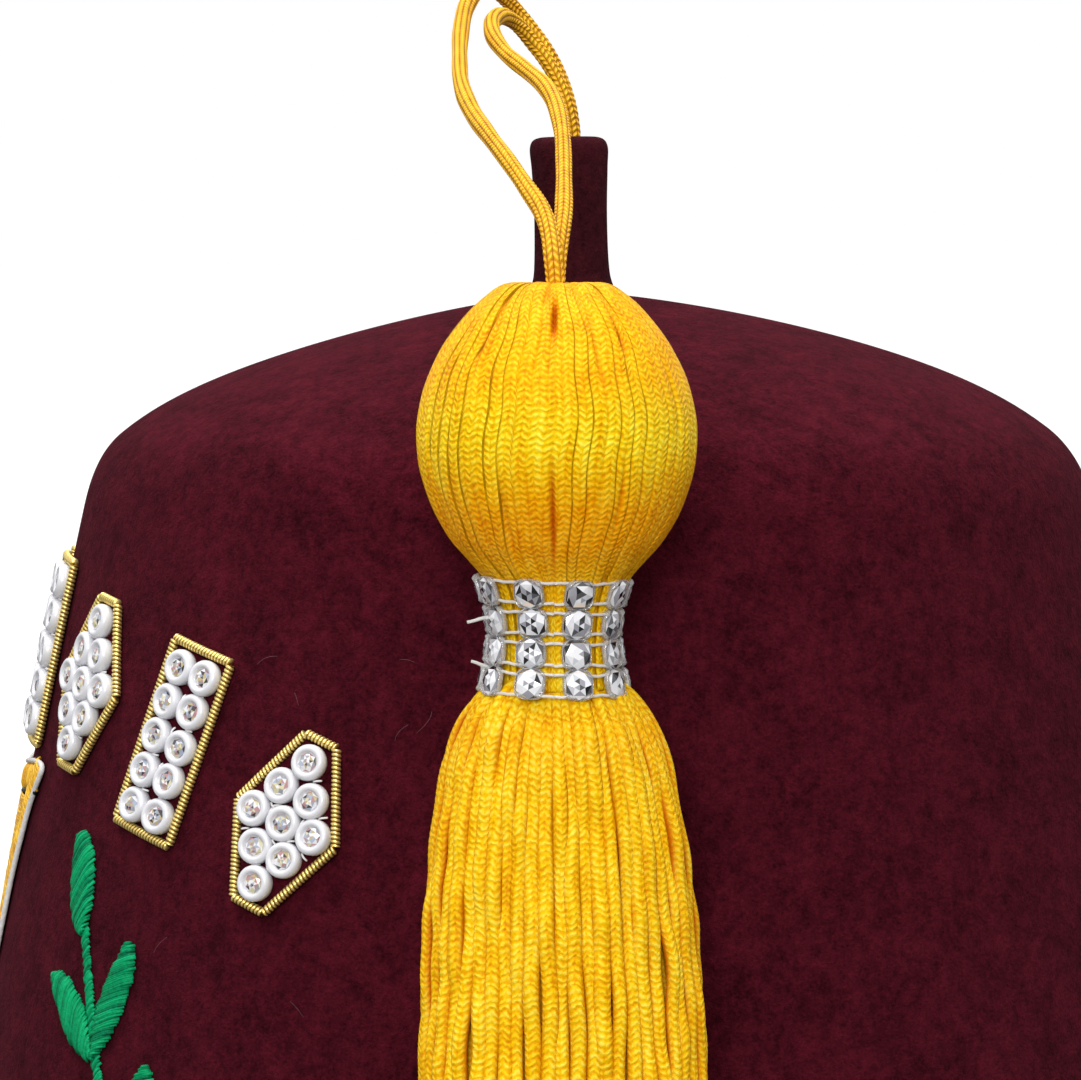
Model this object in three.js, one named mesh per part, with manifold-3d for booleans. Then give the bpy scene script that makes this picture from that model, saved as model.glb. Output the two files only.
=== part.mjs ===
// Fez hat: a hollow oval felt crown with a felt stem on top, jewelled and stitched ornaments
// round its front, and a ball-headed tassel that hangs at the wearer's left from a looped cord.
// Millimetres. +Z is up, the front of the hat faces -Y, and the wearer's left is +X.
// The origin is the middle of the head opening, in the plane of the rim.
import * as THREE from 'three';
import { mergeVertices } from 'three/addons/utils/BufferGeometryUtils.js';
import Module from 'manifold-3d';

const manifold = await Module();
manifold.setup();

// Crown
const rimRadius = 103.2; // half the length of the oval, front to back, at the rim
const lengthToWidth = 1.15; // the oval's length over its width
const wallTaper = 0.15; // mm that the wall comes in for each mm up from the rim
const wallBend = 0.0003; // how much faster it comes in higher up
const feltThickness = 2.6;
const wallTop = 111; // height where the wall begins to turn over the shoulder
const topHeight = 146.2; // height of the middle of the top
const topSlope = 0.1; // fall of the top for each mm out from its middle
const topBend = 0.0021; // how much faster it falls further out
const edgeDrop = 2.8; // what the turned edge of the top adds to that fall at edgeRadius
const edgeRadius = 75;
const edgePower = 9;
const topEdge = 76; // distance from the middle where the shoulder begins
const topShift = 2.5; // how far the middle of the top lies towards the front
const topTilt = 0.018; // rise of the top for each mm towards the back
const crownSides = 60;

// Stem
const stemRadius = 6.4;
const stemWaist = 0.3; // how much thinner the stem is half way up
const stemHeight = 25;
const stemLean = 0.03; // mm towards the front for each mm up

// Tassel
const tasselX = 89.5;
const tasselY = -5.4;
const skirtBottom = 6;
const skirtClearance = 0.6; // between the back of the skirt and the wall
const skirtDrift = 0.014; // mm towards the back for each mm down
const collarBand = 1.1; // thickness of the collar
const tasselSides = 28;
const cordDiameter = 2.8;
const cordSides = 8;

// Ornaments on the wall
const stoneSize = 5.6;
const ornamentBorder = 1.4; // outlining wire and its margin, round the stones
const ornamentThickness = 2.6;
const ornamentPitch = 25; // from one ornament to the next along the arc
const arcTop = 88.4; // height of the arc of ornaments at the front
const arcRadius = 173;
const leanPerMillimetre = 0.24; // degrees that an ornament leans for each mm from the front
const stitchedThickness = 1.2;

const gap = 0.3; // kept between touching pieces
const stitchGap = 0.5; // under ornaments, which are flatter than the curved wall below them

// ---- Shape of the crown ----------------------------------------------------------------

// Half the crown's length at a height on the straight part of the wall.
function wallRadius(height) {
  return rimRadius - wallTaper * height - wallBend * height * height;
}

// Height of the top at a distance from its middle, measured along the oval's length.
function topProfile(radius) {
  const edge = edgeDrop * (radius / edgeRadius) ** edgePower;
  return topHeight - topSlope * radius - topBend * radius * radius - edge;
}

// The shoulder is one quadratic curve. It leaves the wall and meets the top along their own
// slopes, so its middle point is where those two slopes cross.
function shoulderCurve() {
  const wallSlope = -wallTaper - 2 * wallBend * wallTop;
  const edgeTurn = ((edgePower * edgeDrop) / edgeRadius) * (topEdge / edgeRadius) ** (edgePower - 1);
  const edgeSlope = -topSlope - 2 * topBend * topEdge - edgeTurn;
  const start = new THREE.Vector2(wallRadius(wallTop), wallTop);
  const end = new THREE.Vector2(topEdge, topProfile(topEdge));
  const across = end.y - start.y + edgeSlope * (start.x - end.x);
  const rise = across / (1 - edgeSlope * wallSlope);
  const middle = new THREE.Vector2(start.x + wallSlope * rise, start.y + rise);
  return new THREE.QuadraticBezierCurve(start, middle, end);
}

// The outside of the felt from the rim up to the middle of the top, as [radius, height].
function outerProfile(wallSteps, shoulderSteps, topSteps) {
  const points = [];
  for (let i = 0; i < wallSteps; i += 1) {
    const height = (wallTop * i) / wallSteps;
    points.push(new THREE.Vector2(wallRadius(height), height));
  }
  points.push(...shoulderCurve().getPoints(shoulderSteps));
  for (let i = topSteps - 1; i >= 0; i -= 1) {
    const radius = (topEdge * i) / topSteps;
    points.push(new THREE.Vector2(radius, topProfile(radius)));
  }
  return points;
}

// The same line moved inwards by the thickness of the felt.
function innerProfile(outer) {
  return outer.map((point, i) => {
    const before = outer[Math.max(i - 1, 0)];
    const after = outer[Math.min(i + 1, outer.length - 1)];
    const along = after.clone().sub(before).normalize();
    const inward = new THREE.Vector2(-along.y, along.x);
    const inner = point.clone().addScaledVector(inward, feltThickness);
    if (i === 0) inner.y = 0;
    if (i === outer.length - 1) inner.x = 0;
    return inner;
  });
}

// Above the wall the top moves towards the front and tilts up towards the back, both more
// and more up to its middle, and the stem goes on leaning forwards.
function setTop(point) {
  const share = THREE.MathUtils.smoothstep(point.z, wallTop, topHeight);
  const lean = stemLean * Math.max(point.z - topHeight, 0);
  point.z += topTilt * share * point.y;
  point.y -= topShift * share + lean;
}

// A point on the outside of the wall. The angle runs from the front towards the wearer's left.
function wallPoint(angle, height) {
  const length = wallRadius(height);
  return new THREE.Vector3(
    (length / lengthToWidth) * Math.sin(angle),
    -length * Math.cos(angle),
    height,
  );
}

// Distance round the wall for each radian, at an angle and height.
function distancePerRadian(angle, height) {
  const step = 0.001;
  return wallPoint(angle + step, height).distanceTo(wallPoint(angle - step, height)) / (2 * step);
}

// The angle reached by walking a distance round the wall from the front.
function angleAtDistance(distance, height) {
  const steps = 200;
  let angle = 0;
  for (let i = 0; i < steps; i += 1) {
    angle += distance / steps / distancePerRadian(angle, height);
  }
  return angle;
}

// ---- Making solids ----------------------------------------------------------------------

// Keeps only positions, joins shared corners and turns the faces outwards.
function closedBody(geometry) {
  geometry.deleteAttribute('normal');
  geometry.deleteAttribute('uv');
  const body = mergeVertices(geometry, 1e-4);
  const corners = [0, 1, 2].map(() => new THREE.Vector3());
  let volume = 0;
  for (let i = 0; i < body.index.count; i += 3) {
    corners.forEach((corner, k) => {
      corner.fromBufferAttribute(body.attributes.position, body.index.getX(i + k));
    });
    volume += corners[0].dot(corners[1].clone().cross(corners[2])) / 6;
  }
  if (volume < 0) turnInsideOut(body);
  return body;
}

function turnInsideOut(geometry) {
  const { array } = geometry.index;
  for (let i = 0; i < array.length; i += 3) {
    [array[i], array[i + 1]] = [array[i + 1], array[i]];
  }
}

// Moves every corner of a geometry to where a function puts it.
function reshape(geometry, place) {
  const { position } = geometry.attributes;
  const point = new THREE.Vector3();
  for (let i = 0; i < position.count; i += 1) {
    point.fromBufferAttribute(position, i);
    place(point);
    position.setXYZ(i, point.x, point.y, point.z);
  }
  return geometry;
}

// A profile of [radius, height] points turned round the vertical axis.
function turned(points, sides) {
  return new THREE.LatheGeometry(points, sides).rotateX(Math.PI / 2);
}

// A solid through level oval sections, each with a height, a middle and two half sizes.
function lofted(sections, sides) {
  const positions = [];
  const index = [];
  for (const { height, x, y, halfWidth, halfDepth } of sections) {
    for (let i = 0; i < sides; i += 1) {
      const angle = (2 * Math.PI * i) / sides;
      positions.push(x + halfDepth * Math.cos(angle), y + halfWidth * Math.sin(angle), height);
    }
  }
  const first = sections[0];
  const last = sections[sections.length - 1];
  const firstMiddle = positions.length / 3;
  positions.push(first.x, first.y, first.height, last.x, last.y, last.height);
  for (let i = 0; i < sides; i += 1) {
    const next = (i + 1) % sides;
    for (let ring = 0; ring < sections.length - 1; ring += 1) {
      const low = ring * sides;
      const high = low + sides;
      index.push(low + i, low + next, high + next, low + i, high + next, high + i);
    }
    const lastRing = (sections.length - 1) * sides;
    index.push(firstMiddle, next, i, firstMiddle + 1, lastRing + i, lastRing + next);
  }
  const geometry = new THREE.BufferGeometry();
  geometry.setAttribute('position', new THREE.Float32BufferAttribute(positions, 3));
  geometry.setIndex(index);
  return geometry;
}

// Lays a flat piece on the wall. In the flat piece x runs round the wall away from the front,
// y up the wall and z out of it. A lean tips its top away from the front.
function onWall(geometry, { distance, height, lean }) {
  const angle = angleAtDistance(distance, height);
  const rate = distancePerRadian(angle, height);
  const turn = THREE.MathUtils.degToRad(lean);
  return reshape(geometry, (point) => {
    const round = point.x * Math.cos(turn) + point.y * Math.sin(turn);
    const up = point.y * Math.cos(turn) - point.x * Math.sin(turn);
    const at = angle + round / rate;
    const level = height + up / Math.hypot(1, wallTaper);
    const tangent = wallPoint(at + 0.001, level).sub(wallPoint(at - 0.001, level));
    const rise = wallPoint(at, level + 0.1).sub(wallPoint(at, level - 0.1));
    const outwards = tangent.cross(rise).normalize();
    const out = stitchGap + point.z;
    point.copy(wallPoint(at, level).addScaledVector(outwards, out));
  });
}

// The copy of a piece on the wearer's right.
function mirrored(geometry) {
  const copy = geometry.clone().scale(-1, 1, 1);
  turnInsideOut(copy);
  return copy;
}

// A flat padded piece: a block whose half width changes along its height. The function gets
// the place along the height, from -1 at the bottom to 1 at the top.
function flatPiece({ height, thickness, halfWidthAt, across, along }) {
  const block = new THREE.BoxGeometry(2, height, thickness, across, along, 1);
  return reshape(block, (point) => {
    point.x *= halfWidthAt((2 * point.y) / height);
    point.z += thickness / 2;
  });
}

// ---- The pieces ---------------------------------------------------------------------------

const colours = {
  felt: 0x5c1a29,
  yarn: 0xf4c21c,
  cord: 0xe9ad2c,
  crystal: 0xe6e8ec,
  stones: 0xf2f1ee,
  gold: 0xf0c232,
  green: 0x179363,
};

const finishes = {
  felt: new THREE.MeshStandardMaterial({ color: colours.felt, roughness: 0.95 }),
  yarn: new THREE.MeshStandardMaterial({ color: colours.yarn, roughness: 0.55 }),
  cord: new THREE.MeshStandardMaterial({ color: colours.cord, roughness: 0.7 }),
  crystal: new THREE.MeshStandardMaterial({ color: colours.crystal, roughness: 0.15 }),
  stones: new THREE.MeshStandardMaterial({ color: colours.stones, roughness: 0.25 }),
  gold: new THREE.MeshStandardMaterial({ color: colours.gold, roughness: 0.6 }),
  green: new THREE.MeshStandardMaterial({ color: colours.green, roughness: 0.6 }),
};

const hat = new THREE.Group();

function addPiece(name, geometry, finish) {
  const mesh = new THREE.Mesh(closedBody(geometry), finishes[finish].clone());
  mesh.name = name;
  hat.add(mesh);
}

// Crown: one piece of felt, blocked to shape, hollow and open below.
function crown() {
  const outer = outerProfile(6, 5, 8);
  const profile = [...outer.reverse(), ...innerProfile([...outer].reverse())];
  return reshape(turned(profile, crownSides), (point) => {
    point.x /= lengthToWidth;
    setTop(point);
  });
}

// Stem: a solid felt stub sewn to the middle of the top. Its foot spreads a little and
// follows the slope of the top below it.
function stem() {
  const footRadius = stemRadius + 0.8;
  const footTop = topHeight + 2;
  const end = topHeight + stemHeight;
  const roundedEnd = [[0, 1.6], [0.6, 0.5], [1.8, 0]]; // in from the side, and down from the end
  const profile = [
    [0, topHeight + gap],
    [footRadius, topProfile(footRadius) + gap + 0.1],
    [stemRadius, footTop],
    [stemRadius - stemWaist, topHeight + stemHeight / 2],
    [stemRadius, end - 4],
    ...roundedEnd.map(([inwards, down]) => [stemRadius - inwards, end - down]),
    [0, end],
  ];
  const points = profile.map(([radius, height]) => new THREE.Vector2(radius, height));
  return reshape(turned(points, 24), setTop);
}

// Tassel head: strands doubled over a round core, with a dimple on top where the cord comes
// out and a neck below that runs down through the collar.
const headSections = [
  { height: 87.4, radius: 9.2 },
  { height: 92, radius: 8.8 },
  { height: 96, radius: 8.7 },
  { height: 100, radius: 8.8 },
  { height: 104.4, radius: 9.9 },
  { height: 107, radius: 12.7 },
  { height: 110.6, radius: 15.8 },
  { height: 115.8, radius: 18.6 },
  { height: 121, radius: 20.2 },
  { height: 126.5, radius: 20.6 },
  { height: 131.6, radius: 19.8 },
  { height: 136.8, radius: 17.7 },
  { height: 141.4, radius: 14.8 },
  { height: 145, radius: 11.4 },
  { height: 147.2, radius: 8.4 },
  { height: 148, radius: 5.6 },
];

function tasselHead() {
  const sections = headSections.map(({ height, radius }) => (
    { height, x: tasselX, y: tasselY, halfWidth: radius, halfDepth: radius }
  ));
  return lofted(sections, tasselSides);
}

// Collar: a waisted band of wired stones wrapped round the neck of the tassel.
function collar() {
  const sections = [
    { height: 87.3, radius: 11 },
    { height: 92, radius: 10.4 },
    { height: 96, radius: 10.2 },
    { height: 100, radius: 10.4 },
    { height: 104.5, radius: 11.6 },
  ];
  const outside = sections.map(({ height, radius }) => new THREE.Vector2(radius, height));
  const inside = sections.map(({ height, radius }) => (
    new THREE.Vector2(radius - collarBand, height)
  ));
  const profile = [...outside, ...inside.reverse(), outside[0]];
  return turned(profile, tasselSides).translate(tasselX, tasselY, 0);
}

// Tassel skirt: the free strands below the collar. Its back lies along the wall, so its
// middle moves out as the wall widens.
const skirtSections = [
  { height: 87, halfWidth: 12.8, halfDepth: 11.4 },
  { height: 84, halfWidth: 15.2, halfDepth: 12.4 },
  { height: 78, halfWidth: 17.2, halfDepth: 12.9 },
  { height: 69, halfWidth: 18.9, halfDepth: 13.2 },
  { height: 58, halfWidth: 20.2, halfDepth: 13.5 },
  { height: 46, halfWidth: 21, halfDepth: 13.8 },
  { height: 33, halfWidth: 21.6, halfDepth: 14.1 },
  { height: skirtBottom, halfWidth: 22.2, halfDepth: 14.4 },
];

function tasselSkirt() {
  const sections = skirtSections.map(({ height, halfWidth, halfDepth }) => {
    const againstWall = wallRadius(height) / lengthToWidth + skirtClearance + halfDepth;
    const x = Math.max(tasselX, againstWall);
    const y = tasselY + (skirtSections[0].height - height) * skirtDrift;
    return { height, x, y, halfWidth, halfDepth };
  });
  return lofted(sections.reverse(), tasselSides);
}

// Loop cord: two strands of round knitted cord come out of the top of the tassel, arch up and
// over, and come down behind the stem, where both are sewn into the felt at its foot.
const loopRoutes = {
  loop_strand_outer: [
    [91.2, -5.7, 148.5],
    [90.9, -6.0, 151.8],
    [88.6, -6.5, 155.4],
    [84.8, -7.5, 158.4],
    [79.0, -9.8, 162.0],
    [71.0, -12.7, 166.2],
    [62.0, -15.4, 169.8],
    [50.0, -18.3, 174.0],
    [38.0, -20.1, 178.4],
    [27.0, -20.6, 182.7],
    [16.0, -20.6, 187.6],
    [6.0, -19.8, 192.4],
    [-2.0, -17.8, 195.4],
    [-8.6, -15.2, 195.6],
    [-13.0, -12.4, 193.2],
    [-14.6, -9.4, 189.6],
    [-14.4, -6.7, 185.6],
    [-13.8, -4.5, 181.2],
    [-13.2, -3.1, 176.6],
    [-12.9, -2.4, 171.0],
    [-12.8, -2.3, 163.0],
    [-12.8, -2.3, 155.0],
    [-12.8, -2.3, 144.9],
  ],
  loop_strand_inner: [
    [87.8, -5.5, 148.5],
    [87.3, -5.3, 151.8],
    [84.8, -4.8, 155.2],
    [80.4, -4.4, 158.4],
    [74.0, -4.3, 162.1],
    [67.0, -4.3, 165.9],
    [58.0, -4.5, 170.6],
    [49.0, -5.3, 174.7],
    [40.0, -6.9, 178.0],
    [30.0, -9.9, 181.0],
    [20.0, -13.3, 184.1],
    [11.0, -15.4, 187.3],
    [3.0, -15.6, 190.0],
    [-4.0, -14.0, 191.2],
    [-8.8, -11.6, 190.0],
    [-10.8, -9.0, 187.0],
    [-10.9, -6.5, 183.6],
    [-10.3, -4.5, 179.8],
    [-9.8, -3.1, 175.6],
    [-9.4, -2.4, 170.4],
    [-9.3, -2.3, 163.0],
    [-9.3, -2.3, 155.0],
    [-9.4, -2.3, 145.5],
  ],
};

function cordTube(route) {
  const points = route.map((point) => new THREE.Vector3(...point));
  const curve = new THREE.CatmullRomCurve3(points, false, 'centripetal');
  const ring = [];
  for (let i = 0; i < cordSides; i += 1) {
    const angle = (2 * Math.PI * i) / cordSides;
    const corner = new THREE.Vector2(Math.cos(angle), Math.sin(angle));
    ring.push(corner.multiplyScalar(cordDiameter / 2));
  }
  const spacing = 2.4 * cordDiameter;
  const steps = Math.round(curve.getLength() / spacing);
  const shape = new THREE.Shape(ring);
  return new THREE.ExtrudeGeometry(shape, { steps, extrudePath: curve, bevelEnabled: false });
}

// Jewelled ornaments: lozenges and batons by turns along an arc over the front. Each one is
// a padded plate closely set with round stones, inside an outline of coiled wire.
const lozengeRows = [1, 2, 3, 2, 1];
const lozengeRowPitch = 0.88 * stoneSize; // the rows nest between each other's stones
const lozengeTip = stoneSize / 2 + 0.4; // half the width of the lozenge's cut-off ends
const batonRows = [2, 2, 2, 2, 2];

function lozenge() {
  const height = lozengeRowPitch * (lozengeRows.length - 1) + stoneSize + 2 * ornamentBorder;
  const widest = (stoneSize * Math.max(...lozengeRows)) / 2 + ornamentBorder;
  return flatPiece({
    height,
    thickness: ornamentThickness,
    halfWidthAt: (place) => widest + (lozengeTip - widest) * Math.abs(place),
    across: 4,
    along: 6,
  });
}

function baton() {
  const height = stoneSize * batonRows.length + 2 * ornamentBorder;
  const halfWidth = (stoneSize * batonRows[0]) / 2 + ornamentBorder;
  return flatPiece({
    height,
    thickness: ornamentThickness,
    halfWidthAt: () => halfWidth,
    across: 4,
    along: 4,
  });
}

// Crest: a padded, stitched shield below the arc, wide at the top and drawn in below.
const crestHeight = 50;
const crestMiddle = 45;
const crestThickness = 1.8;
const crestShape = [
  { place: -1, halfWidth: 1.5 },
  { place: -0.7, halfWidth: 9 },
  { place: -0.2, halfWidth: 14 },
  { place: 0.3, halfWidth: 17 },
  { place: 0.7, halfWidth: 21 },
  { place: 1, halfWidth: 25.5 },
];

function crestHalfWidth(place) {
  const upper = Math.max(1, crestShape.findIndex((row) => row.place >= place - 1e-6));
  const low = crestShape[upper - 1];
  const high = crestShape[upper];
  const share = (place - low.place) / (high.place - low.place);
  return THREE.MathUtils.lerp(low.halfWidth, high.halfWidth, share);
}

function crest() {
  return flatPiece({
    height: crestHeight,
    thickness: crestThickness,
    halfWidthAt: crestHalfWidth,
    across: 12,
    along: 10,
  });
}

// Sprig: satin-stitched stalk, bud and two pairs of leaves, joined in one raised shape. Each
// starts at its foot and points along its lean, in degrees from upright, away from the front.
const sprigPlace = { distance: 60, height: 29, lean: -21 };
const stalk = { x: 0, y: -23, length: 43, width: 1.8, lean: 0 };
const leaves = [
  { x: 0, y: 19, length: 16, width: 7, lean: 0 },
  { x: 0, y: -1, length: 18, width: 6, lean: -31 },
  { x: 0, y: -1, length: 19, width: 6, lean: 35 },
  { x: 0, y: -18, length: 15, width: 5.5, lean: -40 },
  { x: 0, y: -18, length: 17, width: 5.5, lean: 40 },
];
const leafTip = 0.35; // half the width that a leaf keeps at its ends

// A strip from its foot along its lean, with its half width given along its length.
function strip({ x, y, length, lean }, halfWidthAt, along) {
  const block = flatPiece({
    height: length, thickness: stitchedThickness, halfWidthAt, across: 1, along,
  });
  block.translate(0, length / 2, 0).rotateZ(-THREE.MathUtils.degToRad(lean)).translate(x, y, 0);
  const body = closedBody(block);
  return new manifold.Manifold(new manifold.Mesh({
    numProp: 3,
    vertProperties: new Float32Array(body.attributes.position.array),
    triVerts: new Uint32Array(body.index.array),
  }));
}

function leaf(shape) {
  const oval = (place) => (shape.width / 2) * Math.sqrt(Math.max(0, 1 - place * place));
  return strip(shape, (place) => Math.max(leafTip, oval(place)), 6);
}

function sprig() {
  const whole = leaves.map(leaf).reduce(
    (joined, next) => joined.add(next),
    strip(stalk, () => stalk.width / 2, 1),
  );
  const { vertProperties, triVerts } = whole.getMesh();
  const geometry = new THREE.BufferGeometry();
  const positions = new THREE.BufferAttribute(new Float32Array(vertProperties), 3);
  geometry.setAttribute('position', positions);
  geometry.setIndex(new THREE.BufferAttribute(new Uint32Array(triVerts), 1));
  return onWall(geometry, sprigPlace);
}

// ---- The hat ------------------------------------------------------------------------------

addPiece('crown', crown(), 'felt');
addPiece('stem', stem(), 'felt');
addPiece('tassel_head', tasselHead(), 'yarn');
addPiece('tassel_collar', collar(), 'crystal');
addPiece('tassel_skirt', tasselSkirt(), 'yarn');
for (const [name, route] of Object.entries(loopRoutes)) {
  addPiece(name, cordTube(route), 'cord');
}

for (let step = 0; step < 4; step += 1) {
  const distance = ornamentPitch * (step + 0.5);
  const height = arcTop - (distance * distance) / (2 * arcRadius);
  const place = { distance, height, lean: leanPerMillimetre * distance };
  const kind = step % 2 ? 'lozenge' : 'baton';
  const plate = closedBody(onWall(step % 2 ? lozenge() : baton(), place));
  const pair = step < 2 ? 'inner' : 'outer';
  addPiece(`${kind}_${pair}_left`, plate, 'stones');
  addPiece(`${kind}_${pair}_right`, mirrored(plate), 'stones');
}

addPiece('crest', onWall(crest(), { distance: 0, height: crestMiddle, lean: 0 }), 'gold');
const leftSprig = closedBody(sprig());
addPiece('sprig_left', leftSprig, 'green');
addPiece('sprig_right', mirrored(leftSprig), 'green');

export default hat;
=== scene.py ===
import math

import bpy
import numpy as np
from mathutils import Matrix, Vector


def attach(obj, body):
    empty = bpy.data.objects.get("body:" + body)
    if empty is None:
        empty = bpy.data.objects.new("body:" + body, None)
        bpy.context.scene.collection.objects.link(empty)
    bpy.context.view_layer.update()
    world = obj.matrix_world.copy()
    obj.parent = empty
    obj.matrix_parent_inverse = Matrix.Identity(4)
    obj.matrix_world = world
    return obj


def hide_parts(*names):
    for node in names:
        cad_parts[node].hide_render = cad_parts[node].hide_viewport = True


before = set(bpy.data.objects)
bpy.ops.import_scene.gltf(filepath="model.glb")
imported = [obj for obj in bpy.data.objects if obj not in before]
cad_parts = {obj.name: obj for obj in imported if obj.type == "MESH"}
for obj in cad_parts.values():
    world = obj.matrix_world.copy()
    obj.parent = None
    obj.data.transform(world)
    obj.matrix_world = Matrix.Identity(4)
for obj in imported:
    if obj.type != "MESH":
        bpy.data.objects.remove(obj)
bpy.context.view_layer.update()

# ---- Camera -----------------------------------------------------------------------------
# A long lens looks at the wearer's left side of the hat from a little above it. It frames
# the upper part of the hat, with the tassel in the middle.

AIM = Vector((0.0, -0.0078, 0.105))
CAMERA_DISTANCE = 0.80
CAMERA_ELEVATION = math.radians(3.5)

camera_data = bpy.data.cameras.new("camera")
camera_data.lens = 161.5
camera_data.sensor_width = 36
camera = bpy.data.objects.new("camera", camera_data)
sight = Vector((math.cos(CAMERA_ELEVATION), 0, math.sin(CAMERA_ELEVATION)))
camera.location = AIM + CAMERA_DISTANCE * sight
camera.rotation_euler = (-sight).to_track_quat("-Z", "Y").to_euler()
bpy.context.scene.collection.objects.link(camera)
bpy.context.scene.camera = camera

# ---- Loop cord --------------------------------------------------------------------------
# Two strands of round knitted rayon cord. They come out of the dimple on top of the tassel,
# arch up and over, and go down behind the stem, where both are sewn into the felt.

MM = 0.001  # the shapes below are worked out in millimetres
STITCH = 1.0  # length of one knitted stitch, along a strand
PAINTED_SHADING_TOP = 0.16  # height, in metres, where the painted light and shade by height ends
UPWARD = np.array([0.0, 0.0, 1.0])
FORWARD = np.array([0.0, -1.0, 0.0])
CORD_DIAMETER = 0.0028
CORD_FLATNESS = 0.94  # its thickness as a share of its width
CORD_SIDES = 24
CORD_WALES = 4  # columns of stitches round a cord
CORD_RELIEF = 0.09  # how far the stitches stand out, as a share of the cord's radius
MIDDLE_RELIEF = 0.6  # height of the relief that leaves a strand its own thickness
TUCK_IN_DIMPLE = 0.0022
TUCK_IN_FELT = 0.0014
LOOP_ROUTES = {
    "loop_strand_outer": [
        (0.0912, -0.0057, 0.1485), (0.0909, -0.0060, 0.1518), (0.0886, -0.0065, 0.1554),
        (0.0848, -0.0075, 0.1584), (0.0790, -0.0098, 0.1620), (0.0710, -0.0127, 0.1662),
        (0.0620, -0.0154, 0.1698), (0.0500, -0.0183, 0.1740), (0.0380, -0.0201, 0.1784),
        (0.0270, -0.0206, 0.1827), (0.0160, -0.0206, 0.1876), (0.0060, -0.0198, 0.1924),
        (-0.0020, -0.0178, 0.1954), (-0.0086, -0.0152, 0.1956), (-0.0130, -0.0124, 0.1932),
        (-0.0146, -0.0094, 0.1896), (-0.0144, -0.0067, 0.1856), (-0.0138, -0.0045, 0.1812),
        (-0.0132, -0.0031, 0.1766), (-0.0129, -0.0024, 0.1710), (-0.0128, -0.0023, 0.1630),
        (-0.0128, -0.0023, 0.1550), (-0.0128, -0.0023, 0.1449),
    ],
    "loop_strand_inner": [
        (0.0878, -0.0055, 0.1485), (0.0873, -0.0053, 0.1518), (0.0848, -0.0048, 0.1552),
        (0.0804, -0.0044, 0.1584), (0.0740, -0.0043, 0.1621), (0.0670, -0.0043, 0.1659),
        (0.0580, -0.0045, 0.1706), (0.0490, -0.0053, 0.1747), (0.0400, -0.0069, 0.1780),
        (0.0300, -0.0099, 0.1810), (0.0200, -0.0133, 0.1841), (0.0110, -0.0154, 0.1873),
        (0.0030, -0.0156, 0.1900), (-0.0040, -0.0140, 0.1912), (-0.0088, -0.0116, 0.1900),
        (-0.0108, -0.0090, 0.1870), (-0.0109, -0.0065, 0.1836), (-0.0103, -0.0045, 0.1798),
        (-0.0098, -0.0031, 0.1756), (-0.0094, -0.0024, 0.1704), (-0.0093, -0.0023, 0.1630),
        (-0.0093, -0.0023, 0.1550), (-0.0094, -0.0023, 0.1455),
    ],
}


def smooth_line(points, step):
    """A centripetal Catmull-Rom curve through the points, cut at even steps.

    Each span leaves and reaches its points along slopes worked out from the square roots
    of the distances to their neighbours.
    """
    line = np.asarray(points, float)
    line = np.vstack([2 * line[0] - line[1], line, 2 * line[-1] - line[-2]])
    a, b, c, d = line[:-3], line[1:-2], line[2:-1], line[3:]
    before, span, after = (
        np.linalg.norm(end - start, axis=1, keepdims=True) ** 0.5
        for start, end in ((a, b), (b, c), (c, d))
    )
    leave = ((b - a) / before - (c - a) / (before + span) + (c - b) / span) * span
    reach = ((c - b) / span - (d - b) / (span + after) + (d - c) / after) * span
    t = np.linspace(0, 1, 30, endpoint=False)[:, None, None]
    cubic = 2 * (b - c) + leave + reach
    square = 3 * (c - b) - 2 * leave - reach
    dense = b + leave * t + square * t**2 + cubic * t**3
    dense = np.vstack([dense.transpose(1, 0, 2).reshape(-1, line.shape[1]), c[-1]])
    walked = np.append(0, np.cumsum(np.linalg.norm(np.diff(dense, axis=0), axis=1)))
    at = np.linspace(0, walked[-1], max(2, round(walked[-1] / step) + 1))
    return np.stack([np.interp(at, walked, column) for column in dense.T], axis=1)


def unit(vectors):
    """Vectors divided by their own lengths."""
    return vectors / np.linalg.norm(vectors, axis=-1, keepdims=True)


def tubes(paths, outward, half_width, half_depth, sides):
    """Rings round many centre lines at once, as points (tube, ring, side, xyz).

    At angle a a ring's point is centre + side * half_width * cos a + out * half_depth *
    sin a, where out is the given outward direction made square to the line.
    """
    along = unit(np.gradient(paths, axis=1))
    side = unit(np.cross(outward, along))
    out = np.cross(along, side)
    angle = 2 * np.pi * np.arange(sides) / sides
    across = half_width[..., None, None] * np.cos(angle)[:, None]
    raised = half_depth[..., None, None] * np.sin(angle)[:, None]
    return paths[:, :, None] + side[:, :, None] * across + out[:, :, None] * raised


def knit_relief(wale, stitch):
    """Height from 0 to 1 of knitted stitches: two slanting bumps side by side in each wale.

    The bumps are sin(pi * w) across, where w runs from 0 in the middle of the wale to 1
    at its edges, and they repeat along it by a cosine that is shifted outwards by w.
    """
    w = np.abs(2 * (wale % 1) - 1)
    ridge = 0.5 + 0.5 * np.cos(2 * np.pi * (stitch - 0.6 * w))
    return np.sin(np.pi * w) ** 0.6 * (0.25 + 0.75 * ridge)


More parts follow.
